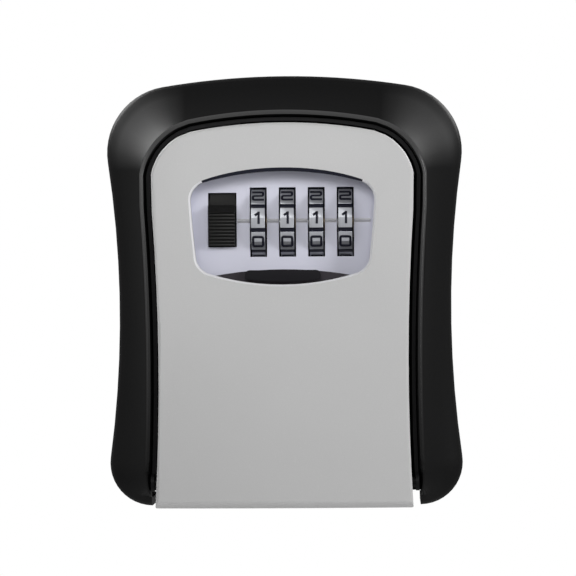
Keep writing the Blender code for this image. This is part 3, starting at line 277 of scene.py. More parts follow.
class LockBoxColours(bpy.types.PropertyGroup):
    """Colours of the dressing that a user would change."""

    paint: bpy.props.FloatVectorProperty(
        name="Paint",
        description="Door paint",
        subtype="COLOR",
        size=3,
        default=(0.5, 0.5, 0.5),
    )
    # Painted highlight: a lighter colour that stands in for light on the window's chamfer and on the index ridge.
    bright_edge: bpy.props.FloatVectorProperty(
        name="Bright Edge",
        description="Window's chamfer and the index ridge",
        subtype="COLOR",
        size=3,
        default=(0.74, 0.74, 0.76),
    )
    moulding: bpy.props.FloatVectorProperty(
        name="Moulding",
        description="Black surround",
        subtype="COLOR",
        size=3,
        default=(0.0013, 0.0013, 0.0014),
    )
    tray: bpy.props.FloatVectorProperty(
        name="Tray",
        description="Black paint of the tray",
        subtype="COLOR",
        size=3,
        default=(0.007, 0.007, 0.0075),
    )
    plate: bpy.props.FloatVectorProperty(
        name="Plate",
        description="Recessed dial plate",
        subtype="COLOR",
        size=3,
        default=(0.66, 0.665, 0.77),
    )
    silver: bpy.props.FloatVectorProperty(
        name="Silver",
        description="Dial faces",
        subtype="COLOR",
        size=3,
        default=(0.38, 0.39, 0.42),
    )
    # Also used for the painted shadow line along the top of the door's window.
    ink: bpy.props.FloatVectorProperty(
        name="Ink",
        description="Dial numbers and dial sides",
        subtype="COLOR",
        size=3,
        default=(0.005, 0.0055, 0.012),
    )
    grip: bpy.props.FloatVectorProperty(
        name="Grip",
        description="Thumb slide and reset lever",
        subtype="COLOR",
        size=3,
        default=(0.012, 0.012, 0.0115),
    )
    leaf: bpy.props.FloatVectorProperty(
        name="Leaf",
        description="Dust shutter's leaf",
        subtype="COLOR",
        size=3,
        default=(0.04, 0.036, 0.042),
    )
    tab: bpy.props.FloatVectorProperty(
        name="Tab",
        description="Dust shutter's finger tab",
        subtype="COLOR",
        size=3,
        default=(0.011, 0.0105, 0.0125),
    )
    steel: bpy.props.FloatVectorProperty(
        name="Steel",
        description="Plated steel of the lock",
        subtype="COLOR",
        size=3,
        default=(0.56, 0.56, 0.57),
    )
    brass: bpy.props.FloatVectorProperty(
        name="Brass",
        description="Dull brass of the code cams and the fence",
        subtype="COLOR",
        size=3,
        default=(0.12, 0.09, 0.05),
    )
    backdrop: bpy.props.FloatVectorProperty(
        name="Backdrop",
        description="Floor of the stage",
        subtype="COLOR",
        size=3,
        default=(0.86, 0.86, 0.86),
    )


class Value:
    """A node's output that takes part in sums; each sum adds a Math node."""

    def __init__(self, tree, socket):
        self.tree = tree
        self.socket = socket

    def combine(self, operation, first, second):
        """Two values or numbers through a Math node."""
        node = add_node(self.tree, "ShaderNodeMath", {"operation": operation}, {0: first, 1: second})
        return Value(self.tree, node.outputs[0])

    def __add__(self, other):
        return self.combine("ADD", self, other)

    def __radd__(self, other):
        return self.combine("ADD", other, self)

    def __sub__(self, other):
        return self.combine("SUBTRACT", self, other)

    def __rsub__(self, other):
        return self.combine("SUBTRACT", other, self)

    def __mul__(self, other):
        return self.combine("MULTIPLY", self, other)

    def __rmul__(self, other):
        return self.combine("MULTIPLY", other, self)

    def __truediv__(self, other):
        return self.combine("DIVIDE", self, other)

    def __rtruediv__(self, other):
        return self.combine("DIVIDE", other, self)

    def __abs__(self):
        return self.combine("ABSOLUTE", self, 0.0)


def feed(tree, socket, value):
    """Link an output to a socket, or set the socket's plain number or colour."""
    if isinstance(value, Value):
        value = value.socket
    if isinstance(value, bpy.types.NodeSocket):
        tree.links.new(value, socket)
    else:
        socket.default_value = value


def set_stops(ramp, stops):
    """A ramp's stops as (place, grey) pairs."""
    while len(ramp.elements) < len(stops):
        ramp.elements.new(1.0)
    for element, (place, grey) in zip(ramp.elements, stops):
        element.position = place
        element.color = (grey, grey, grey, 1.0)


def add_node(tree, kind, settings, inputs):
    """Any node: its settings first, then the values or links of its sockets."""
    node = tree.nodes.new(kind)
    for name, setting in settings.items():
        if name == "stops":
            set_stops(node.color_ramp, setting)
        else:
            setattr(node, name, setting)
    for key, value in inputs.items():
        feed(tree, node.inputs[key], value)
    return node


class Finish:
    """A material under construction, with its Principled shader."""

    def __init__(self, name):
        self.material = bpy.data.materials.new(name)
        self.material.use_nodes = True
        self.tree = self.material.node_tree
        self.shader = self.tree.nodes["Principled BSDF"]
        self.place = self.output("Object", "ShaderNodeTexCoord", {}, {})

    def output(self, name, kind, settings, inputs):
        """One output of a new node."""
        return Value(self.tree, add_node(self.tree, kind, settings, inputs).outputs[name])

    def stretched(self, scale):
        """Object coordinates stretched along the axes."""
        return self.output("Vector", "ShaderNodeMapping", {}, {"Vector": self.place, "Scale": scale})

    def along(self, axis):
        """How far along one of the axes a point lies."""
        return self.output(axis, "ShaderNodeSeparateXYZ", {}, {0: self.place})

    def span(self, axis, start, end):
        """How far along one of the axes a point lies, as a share of the way between two places."""
        length = end - start
        return self.along(axis) * (1.0 / length) - start / length

    def noise(self, scale, detail=SOFT_DETAIL, place=None):
        """Noise over the surface, from 0 to 1."""
        inputs = {"Vector": place or self.place, "Scale": scale, "Detail": detail}
        return self.output(0, "ShaderNodeTexNoise", {}, inputs)

    def ramp(self, value, stops):
        """A value through a ramp of greys."""
        return self.output("Color", "ShaderNodeValToRGB", {"stops": stops}, {"Fac": value})

    def mix(self, share, first, second):
        """A colour between two colours."""
        return self.output(2, "ShaderNodeMix", {"data_type": "RGBA"}, {0: share, 6: first, 7: second})

    def shade(self, share, colour, tones):
        """A colour between its own darkest and lightest tone."""
        return self.mix(share, *(tone(colour, level) for level in tones))

    def bump(self, height, strength, distance):
        """A normal from a height."""
        inputs = {"Height": height, "Strength": strength, "Distance": distance}
        return self.output("Normal", "ShaderNodeBump", {}, inputs)

    def wear(self, **sockets):
        """Set the shader's sockets; an underscore in a name stands for a space."""
        for name, value in sockets.items():
            feed(self.tree, self.shader.inputs[name.replace("_", " ")], value)
        return self.material


def tone(colour, share):
    """A colour made lighter or darker, with alpha."""
    return (*(min(1.0, channel * share) for channel in colour), 1.0)


def blend(strong, faint, share):
    """Two patterns added, the first by its share and the second by the rest."""
    return strong * share + faint * (1.0 - share)


def vary(pattern, least, spread):
    """A value that a pattern raises from its least by up to a spread."""
    return least + pattern * spread


def door_paint(colour):
    """Matte grey powder paint: a fine speckle over a soft unevenness."""
    finish = Finish("door_paint")
    speckle = finish.noise(PAINT_SPECKLE, FINE_DETAIL)
    cloud = finish.noise(PAINT_CLOUD)
    fleck = finish.ramp(finish.noise(PAINT_FLECK, COARSE_DETAIL), FLECK_STOPS)
    base = finish.shade(blend(speckle, cloud, SPECKLE_SHARE), colour, PAINT_TONES)
    return finish.wear(
        Base_Color=finish.mix(fleck * FLECK_SHARE, base, tone(colour, FLECK_TONE)),
        Roughness=vary(speckle, *PAINT_ROUGHNESS),
        Normal=finish.bump(speckle, *PAINT_RELIEF),
    )


def moulded_body(name, colour, grain, gloss):
    """Moulded black plastic before its skin: a dull body with a spark-eroded grain."""
    finish = Finish(name)
    texture = finish.noise(grain, FINE_DETAIL)
    cloud = finish.noise(MOULDING_CLOUD)
    finish.wear(
        Base_Color=finish.shade(cloud, colour, MOULDING_TONES),
        Roughness=gloss + texture * GRAIN_ROUGHNESS + cloud * CLOUD_ROUGHNESS,
        Normal=finish.bump(texture, *MOULDING_RELIEF),
        Specular_IOR_Level=0.0,
        Coat_Roughness=gloss,
    )
    return finish, texture


def black_moulding(name, colour, grain, gloss, shine=0.12):
    """Moulded black plastic under a thin skin."""
    finish, texture = moulded_body(name, colour, grain, gloss)
    return finish.wear(Coat_Weight=vary(texture, *SKIN_SHINE) * shine)


def surround_moulding(colour):
    """Black plastic of the surround, with a painted sheen on its two upper corners, stronger on the left."""
    finish, texture = moulded_body("surround_moulding", colour, SURROUND_GRAIN, gloss=0.42)
    # Painted sheen: the coat weight rises on the upper corners, towards the front and more on the left.
    out = abs(finish.along("X")) - CORNER_X
    up = finish.along("Z") - CORNER_Z
    # The sine of twice the angle round the corner: 1 on its diagonal, 0 on its level and upright sides.
    diagonal = 2.0 * out * up / (out * out + up * up + TINY)
    corner = finish.ramp(diagonal, PAINTED_CORNER_SHEEN)
    front = finish.ramp(finish.span("Y", *FRONT_SPAN), PAINTED_FRONT_SHEEN)
    side = finish.ramp(finish.span("X", *BOX_SPAN), PAINTED_SIDE_SHEEN)
    return finish.wear(Coat_Weight=vary(texture, *SURROUND_SHINE) + corner * front * side)


def polished_crest(colour):
    """Black plastic with a painted sheen, its coat weight highest at the top and falling towards the bottom."""
    finish = Finish("polished_crest")
    texture = finish.noise(SURROUND_GRAIN, FINE_DETAIL)
    return finish.wear(
        Base_Color=finish.shade(texture, colour, MOULDING_TONES),
        Roughness=vary(texture, *CREST_ROUGHNESS),
        Specular_IOR_Level=0.0,
        Coat_Weight=finish.ramp(finish.span("Z", *BOX_SPAN), PAINTED_CREST_SHEEN),
        Coat_Roughness=0.2,
        Coat_IOR=1.62,
    )


def plate_satin(name, colour):
    """A satin pale finish, a little uneven."""
    finish = Finish(name)
    cloud = finish.noise(SATIN_CLOUD)
    grain = finish.noise(SATIN_GRAIN)
    return finish.wear(
        Base_Color=finish.shade(blend(cloud, grain, SATIN_CLOUD_SHARE), colour, SATIN_TONES),
        Roughness=vary(grain, *SATIN_ROUGHNESS),
        Normal=finish.bump(grain, *SATIN_RELIEF),
    )


def turned_metal(name, colour, along, roughness, metallic=1.0, cut=0.15):
    """Turned or drawn metal: fine lines that run one way."""
    finish = Finish(name)
    lines = finish.noise(1.0, LINE_DETAIL, finish.stretched(along))
    cloud = finish.noise(METAL_CLOUD)
    return finish.wear(
        Base_Color=finish.shade(blend(lines, cloud, LINE_SHARE), colour, METAL_TONES),
        Metallic=metallic,
        Roughness=roughness + lines * LINE_ROUGHNESS,
        Normal=finish.bump(lines, cut, LINE_DEPTH),
    )


def dial_ink(colour):
    """Printed black, not quite even; it also paints the shadow line above the door's window."""
    finish = Finish("dial_ink")
    grain = finish.noise(INK_GRAIN)
    return finish.wear(
        Base_Color=finish.shade(grain, colour, INK_TONES),
        Roughness=vary(grain, *INK_ROUGHNESS),
        Specular_IOR_Level=0.15,
    )


def make_finishes(colours):
    """Every finish of the box, by name."""
    return {
        "paint": door_paint(colours.paint),
        "bright_edge": plate_satin("bright_edge", colours.bright_edge),
        "moulding": surround_moulding(colours.moulding),
        "crest": polished_crest(colours.moulding),
        "tray": black_moulding("tray_paint", colours.tray, TRAY_GRAIN, gloss=0.42),
        "cover": black_moulding("cover_moulding", colours.tray, COVER_GRAIN, gloss=0.48),
        "grip": black_moulding("grip_moulding", colours.grip, GRIP_GRAIN, gloss=0.3, shine=0.22),
        "leaf": black_moulding("shutter_leaf", colours.leaf, GRIP_GRAIN, gloss=0.36),
        "tab": black_moulding("shutter_tab", colours.tab, GRIP_GRAIN, gloss=0.3),
        "plate": plate_satin("plate_satin", colours.plate),
        "silver": turned_metal(
            "dial_silver", colours.silver, DIAL_LINES, roughness=0.1, metallic=0.45, cut=0.03
        ),
        "steel": turned_metal("plated_steel", colours.steel, STEEL_LINES, roughness=0.28),
        "brass": turned_metal("turned_brass", colours.brass, BRASS_LINES, roughness=0.26),
        "ink": dial_ink(colours.ink),
    }


FINISHES = {}


def link_piece(name, mesh, finish, body):
    """A finished mesh as a piece on a body."""
    piece = bpy.data.objects.new(name, mesh)
    bpy.context.scene.collection.objects.link(piece)
    piece.data.materials.clear()
    add_finish(piece, finish)
    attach(piece, body)
    return piece


def add_finish(piece, finish):
    """One more finish on a piece; returns the index that its faces use."""
    piece.data.materials.append(FINISHES[finish])
    return len(piece.data.materials) - 1


def to_mesh(bm, name):
    """A new mesh from a bmesh, which is freed."""
    mesh = bpy.data.meshes.new(name)
    bm.to_mesh(mesh)
    bm.free()
    return mesh


def smooth_share(value, none, full):
    """A smooth share between 0 at one value and 1 at another."""
    share = min(1.0, max(0.0, (value - none) / (full - none)))
    return share * share * (3.0 - 2.0 * share)


def round_corners(mesh, radius):
    """Ease the door's upper corners, and what runs round them, to a larger radius."""
    shift = (radius - CORNER_RADIUS) / math.cos(CORNER_REACH)
    for vertex in mesh.vertices:
        x, y, z = vertex.co
        away = math.hypot(abs(x) - CORNER_X, z - CORNER_Z)
        turn = math.atan2(z - CORNER_Z, abs(x) - CORNER_X) - CORNER_LEAN
        past = max(0.0, abs(turn) - CORNER_REACH)
        grow = away * math.cos(past) - CORNER_RADIUS
        share = smooth_share(grow, *CORNER_INNER_FADE) * smooth_share(grow, *CORNER_OUTER_FADE)
        share *= smooth_share(y, *CORNER_DEPTH_FADE)
        ring = radius + grow
        end = math.atan2(ring * math.sin(CORNER_REACH), ring * math.cos(CORNER_REACH) - shift)
        if share == 0.0 or past > math.pi / 2 or abs(turn) >= end:
            continue
        eased = math.sqrt(ring**2 - (shift * math.sin(turn)) ** 2) - shift * math.cos(turn)
        away += share * (eased - away)
        vertex.co.x = math.copysign(CORNER_X + away * math.cos(turn + CORNER_LEAN), x)
        vertex.co.z = CORNER_Z + away * math.sin(turn + CORNER_LEAN)


def merged_copy(node):
    """A node's mesh with its loose triangles merged and its flat faces whole again."""
    bm = bmesh.new()
    bm.from_mesh(frame["nodes"][node].data)
    bmesh.ops.remove_doubles(bm, verts=bm.verts, dist=WELD_DISTANCE)
    bmesh.ops.dissolve_limit(bm, angle_limit=FLAT_ANGLE, verts=bm.verts, edges=bm.edges)
    mesh = to_mesh(bm, node + "_skin")
    if node in CORNERED_NODES:
        round_corners(mesh, bpy.context.scene.lock_box_sizes.door_corner)
    mesh.shade_smooth()
    mesh.set_sharp_from_angle(angle=SMOOTH_ANGLE)
    return mesh


def dress(node, finish, edge):
    """Stand a softened copy with its finish in a node's place."""
    piece = link_piece(node + "_skin", merged_copy(node), finish, BODY_OF[node])
    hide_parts(node)
    bevel = piece.modifiers.new("soft_edges", "BEVEL")
    bevel.width = edge
    bevel.segments = EDGE_SEGMENTS
    bevel.limit_method = "ANGLE"
    bevel.angle_limit = SMOOTH_ANGLE
    bevel.harden_normals = True
    bevel.use_clamp_overlap = True
    return piece


class LOCKBOX_OT_surround(bpy.types.Operator):
    """Dress the black surround and give its crest a painted sheen"""

    bl_idname = "lockbox.surround"
    bl_label = "Surround"

    crest_depth = 0.00065
    crest_lean = -0.62

    def execute(self, context):
        bezel = dress("outer_bezel", "moulding", context.scene.lock_box_sizes.moulded_edge)
        # The crest's forward faces carry the painted sheen.
        crest = add_finish(bezel, "crest")
        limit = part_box("outer_bezel")[0][1] + self.crest_depth
        for face in bezel.data.polygons:
            flat = face.normal.y < self.crest_lean
            face.material_index = crest if flat and face.center.y < limit else MAIN_FINISH
        return {"FINISHED"}


class LOCKBOX_OT_tray(bpy.types.Operator):
    """Dress the key tray, its keeper and the hinge pin"""

    bl_idname = "lockbox.tray"
    bl_label = "Tray"

    def execute(self, context):
        sizes = context.scene.lock_box_sizes
        dress("housing_tray", "tray", sizes.moulded_edge)
        dress("keeper_plate", "steel", sizes.fine_edge)
        dress("hinge_pin", "tray", sizes.fine_edge)
        return {"FINISHED"}


class LOCKBOX_OT_door(bpy.types.Operator):
    """Dress the painted door, with a painted highlight on the edge round its window and a painted black shadow
    line above it
    """

    bl_idname = "lockbox.door"
    bl_label = "Door"

    chamfer_depth = 0.00045
    chamfer_lean = (-0.85, -0.55)
    # Chamfer faces that lean down this far, within this reach of the middle, carry the painted shadow line.
    shaded_lean = -0.55
    shaded_reach = 0.0212
    wall_lean = -0.8
    lower_share = 0.5
    painted_shadow_rise = 0.0004
    painted_shadow_fade = 4
    rim_depth = 0.0001

    def execute(self, context):
        door = dress("door_panel", "paint", context.scene.lock_box_sizes.door_edge)
        bright = add_finish(door, "bright_edge")
        # The ink finish also paints the shadow line above the window.
        black = add_finish(door, "ink")
        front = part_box("door_panel")[0][1]
        low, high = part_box("dial_plate")
        for face in door.data.polygons:
            if not self.inward(face, low, high):
                continue
            # Chamfer faces round the window: a painted highlight at the sides and bottom, a painted shadow line
            # along the top.
            if self.chamfer_lean[0] < face.normal.y < self.chamfer_lean[1]:
                if face.center.y < front + self.chamfer_depth:
                    shaded = face.normal.z < self.shaded_lean and abs(face.center.x) < self.shaded_reach
                    face.material_index = black if shaded else bright
            # The window's top wall, which faces down, is painted black as shadow too.
            elif face.normal.z < self.wall_lean and face.center.y < low[1]:
                face.material_index = black
        self.raise_painted_shadow(door.data, black, front + self.rim_depth)
        return {"FINISHED"}

    def raise_painted_shadow(self, mesh, black, limit):
        """Draw the painted shadow line, the black chamfer over the window, a little higher on the door's front."""
        rim = {index for face in mesh.polygons if face.material_index == black for index in face.vertices}
        rim = [mesh.vertices[index] for index in rim if mesh.vertices[index].co.y < limit]
        end = max(abs(vertex.co.x) for vertex in rim)
        for vertex in rim:
            vertex.co.z += self.painted_shadow_rise * (1.0 - (vertex.co.x / end) ** self.painted_shadow_fade)

    def inward(self, face, low, high):
        """Whether a face before the dial plate looks towards the middle of the window."""
        x, _, z = face.center
        inside = abs(x) < high[0] and low[2] * self.lower_share < z < high[2]
        return inside and face.normal.x * x + face.normal.z * (z - DIAL_AXIS_Z) < 0.0


def index_ridge(bm, left, right, front, middle, height, relief):
    """A low roof-shaped ridge across the plate between two places."""
    profile = ((front, middle - height / 2), (front - relief, middle), (front, middle + height / 2))
    near, far = ([bm.verts.new((x, y, z)) for y, z in profile] for x in (left, right))
    for index in range(len(profile)):
        bm.faces.new((near[index - 1], near[index], far[index], far[index - 1]))
    bm.faces.new(near)
    bm.faces.new(far)


class LOCKBOX_OT_dial_plate(bpy.types.Operator):
    """Dress the dial plate and add the index ridge beside the dials"""

    bl_idname = "lockbox.dial_plate"
    bl_label = "Dial Plate"

    slot_gap = 0.0006
    slide_flange = 0.0015
    end_length = 0.0042
    ridge_lift = 0.00035
    front_lean = -0.99
    place_digits = 5

    def execute(self, context):
        sizes = context.scene.lock_box_sizes
        dress("dial_plate", "plate", sizes.moulded_edge)
        boxes = [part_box("thumb_slide")] + [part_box(f"dial_{number}") for number in DIAL_NUMBERS]
        starts = [box[1][0] + self.slot_gap for box in boxes]
        starts[0] -= self.slide_flange
        ends = [box[0][0] - self.slot_gap for box in boxes[1:]] + [starts[-1] + self.end_length]
        middle = DIAL_AXIS_Z + self.ridge_lift
        front = self.plate_front()
        bm = bmesh.new()
        for left, right in zip(starts, ends):
            index_ridge(bm, left, right, front, middle, sizes.index_height, sizes.index_relief)
        bmesh.ops.recalc_face_normals(bm, faces=bm.faces)
        ridge = to_mesh(bm, "index_ridge")
        # The ridge wears the painted highlight, a colour lighter than the plate's.
        link_piece("index_ridge", ridge, "bright_edge", BODY_OF["dial_plate"])
        return {"FINISHED"}

    def plate_front(self):
        """The plate's front face: the most of its area that faces forward."""
        area = {}
        for face in frame["nodes"]["dial_plate"].data.polygons:
            if face.normal.y < self.front_lean:
                place = round(face.center.y, self.place_digits)
                area[place] = area.get(place, 0.0) + face.area
        return max(area, key=area.get)


def stroke_curve(digit):
    """A digit's strokes as a flat curve on a unit cell, upright and centred on the origin."""
    curve = bpy.data.curves.new(f"digit_{digit}", "CURVE")
    curve.dimensions = "3D"
    for stroke in DIGIT_STROKES[digit]:
        closed = stroke[0] == stroke[-1]
        points = stroke[:-1] if closed else stroke
        spline = curve.splines.new("POLY")
        spline.points.add(len(points) - 1)
        spline.use_cyclic_u = closed
        for point, (x, y) in zip(spline.points, points):
            point.co = (x - CELL_MIDDLE, y - CELL_MIDDLE, 0.0, 1.0)
    holder = bpy.data.objects.new(f"digit_{digit}", curve)
    bpy.context.scene.collection.objects.link(holder)
    return holder


def add_ring_sockets(tree):
    """The digit ring's named inputs and its output."""
    for name in DIGIT_SIZES:
        tree.interface.new_socket(name, in_out="INPUT", socket_type="NodeSocketFloat")
    tree.interface.new_socket("Ink", in_out="INPUT", socket_type="NodeSocketMaterial")
    for digit in range(DIGIT_COUNT):
        tree.interface.new_socket(f"Digit {digit}", in_out="INPUT", socket_type="NodeSocketObject")
    tree.interface.new_socket("Geometry", in_out="OUTPUT", socket_type="NodeSocketGeometry")


def digit_tree():
    """A ring of numbers round the X axis, one on each face, as a node tree."""
    tree = bpy.data.node_groups.new("digit_ring", "GeometryNodeTree")
    add_ring_sockets(tree)

    def output(kind, settings=(), **inputs):
        """The first output of a new node; an underscore in a name stands for a space."""
        named = {name.replace("_", " "): value for name, value in inputs.items()}
        return add_node(tree, kind, dict(settings), named).outputs[0]

    given = tree.nodes.new("NodeGroupInput").outputs
    ring = tree.nodes.new("GeometryNodeJoinGeometry")
    stroke = given["Stroke"]
    height = given["Digit Height"]
    outward = output("ShaderNodeCombineXYZ", Z=given["Radius"])
    upright = output("ShaderNodeCombineXYZ", X=given["Digit Width"], Y=height, Z=height)
    flat = output("ShaderNodeCombineXYZ", X=1.0, Y=1.0, Z=given["Relief"])
    pen = output("GeometryNodeCurvePrimitiveQuadrilateral", Width=stroke, Height=stroke)
    for index in range(DIGIT_COUNT):
        digit = (READING_DIGIT + index) % DIGIT_COUNT
        turn = math.pi / 2 - index * DIGIT_STEP - READING_TURN
        source = add_node(tree, "GeometryNodeObjectInfo", {}, {"Object": given[f"Digit {digit}"]})
        sized = output("GeometryNodeTransform", Geometry=source.outputs["Geometry"], Scale=upright)
        rounded = output(
            "GeometryNodeFilletCurve",
            {"mode": "POLY"},
            Curve=sized,
            Radius=given["Corner"],
            Count=DIGIT_CORNER_POINTS,
            Limit_Radius=True,
        )
        solid = output("GeometryNodeCurveToMesh", Curve=rounded, Profile_Curve=pen, Fill_Caps=True)
        pressed = output("GeometryNodeTransform", Geometry=solid, Scale=flat, Translation=outward)
        turned = output("GeometryNodeTransform", Geometry=pressed, Rotation=(turn, 0.0, 0.0))
        tree.links.new(turned, ring.inputs[0])
    whole = output("GeometryNodeRealizeInstances", Geometry=ring.outputs[0])
    inked = output("GeometryNodeSetMaterial", Geometry=whole, Material=given["Ink"])
    add_node(tree, "NodeGroupOutput", {}, {"Geometry": inked})
    return tree


def node_mesh(name, tree, inputs):
    """The plain mesh that a node tree makes with the given inputs."""
    holder = bpy.data.objects.new(name, bpy.data.meshes.new(name))
    bpy.context.scene.collection.objects.link(holder)
    modifier = holder.modifiers.new(name, "NODES")
    modifier.node_group = tree
    for item in tree.interface.items_tree:
        if item.in_out == "INPUT" and item.name in inputs:
            modifier[item.identifier] = inputs[item.name]
    graph = bpy.context.evaluated_depsgraph_get()
    mesh = bpy.data.meshes.new_from_object(holder.evaluated_get(graph))
    bpy.data.objects.remove(holder)
    return mesh


class LOCKBOX_OT_dials(bpy.types.Operator):
    """Dress the dials with silver faces, black sides and a ring of numbers each"""

    bl_idname = "lockbox.dials"
    bl_label = "Dials"

    side_normal = 0.9
    face_share = 0.975

    def execute(self, context):
        sizes = context.scene.lock_box_sizes
        tree = digit_tree()
        strokes = {f"Digit {digit}": stroke_curve(digit) for digit in range(DIGIT_COUNT)}
        for number in DIAL_NUMBERS:
            node = f"dial_{number}"
            axis = JOINTS[f"{node}_turn"]["pos_m"]
            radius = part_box(node)[1][2] - axis[2]
            self.dress_dial(node, axis, radius, sizes.dial_edge)
            given = {
                "Radius": radius,
                "Digit Width": sizes.digit_width,
                "Digit Height": sizes.digit_height,
                "Stroke": sizes.digit_stroke,
                "Corner": sizes.digit_corner,
                "Relief": sizes.digit_relief,
                "Ink": FINISHES["ink"],
                **strokes,
            }
            mesh = node_mesh(f"digits_{number}", tree, given)
            mesh.transform(Matrix.Translation(Vector(axis)))
            link_piece(f"digits_{number}", mesh, "ink", BODY_OF[node])
        for holder in strokes.values():
            bpy.data.objects.remove(holder)
        return {"FINISHED"}

    def dress_dial(self, node, axis, radius, edge):
        """Silver on the faces, black in the grooves and on the sides."""
        dial = dress(node, "silver", edge)
        ink = add_finish(dial, "ink")
        for face in dial.data.polygons:
            out = math.hypot(face.center.y - axis[1], face.center.z - axis[2])
            black = abs(face.normal.x) > self.side_normal or out < radius * self.face_share
            face.material_index = ink if black else MAIN_FINISH


class LOCKBOX_OT_slide(bpy.types.Operator):
    """Dress the thumb slide and its latch bolt"""

    bl_idname = "lockbox.slide"
    bl_label = "Thumb Slide"

    def execute(self, context):
        sizes = context.scene.lock_box_sizes
        dress("thumb_slide", "grip", sizes.fine_edge)
        dress("latch_bolt", "steel", sizes.fine_edge)
        return {"FINISHED"}


class LOCKBOX_OT_shutter(bpy.types.Operator):
    """Dress the dust shutter and draw its arched edge a little higher"""

    bl_idname = "lockbox.shutter"
    bl_label = "Dust Shutter"

    tab_depth = 0.0003
    edge_rise = 0.00045

    def execute(self, context):
        shutter = dress("dust_shutter", "leaf", context.scene.lock_box_sizes.moulded_edge)
        tab = add_finish(shutter, "tab")
        low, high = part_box("dust_shutter")
        for face in shutter.data.polygons:
            face.material_index = tab if face.center.y < low[1] + self.tab_depth else MAIN_FINISH
        for vertex in shutter.data.vertices:
            if vertex.co.z > (low[2] + high[2]) / 2:
                vertex.co.z += self.edge_rise
        return {"FINISHED"}


class LOCKBOX_OT_lock(bpy.types.Operator):
    """Dress the lock behind the door"""

    bl_idname = "lockbox.lock"
    bl_label = "Lock"

    def execute(self, context):
        sizes = context.scene.lock_box_sizes
        dress("lock_cover", "cover", sizes.moulded_edge)
        dress("reset_lever", "grip", sizes.moulded_edge)
        dress("dial_shaft", "steel", sizes.fine_edge)
        dress("click_spring", "steel", sizes.fine_edge)
        dress("slide_spring", "steel", edge=0.0)
        dress("fence_bar", "brass", sizes.fine_edge)
        for number in DIAL_NUMBERS:
            dress(f"code_cam_{number}", "brass", sizes.fine_edge)
        return {"FINISHED"}


class LOCKBOX_OT_fasteners(bpy.types.Operator):
    """Dress every screw"""

    bl_idname = "lockbox.fasteners"
    bl_label = "Fasteners"

    def execute(self, context):
        edge = context.scene.lock_box_sizes.fine_edge
        for node in sorted(BODY_OF):
            if "_screw" in node:
                dress(node, "steel", edge)
        return {"FINISHED"}


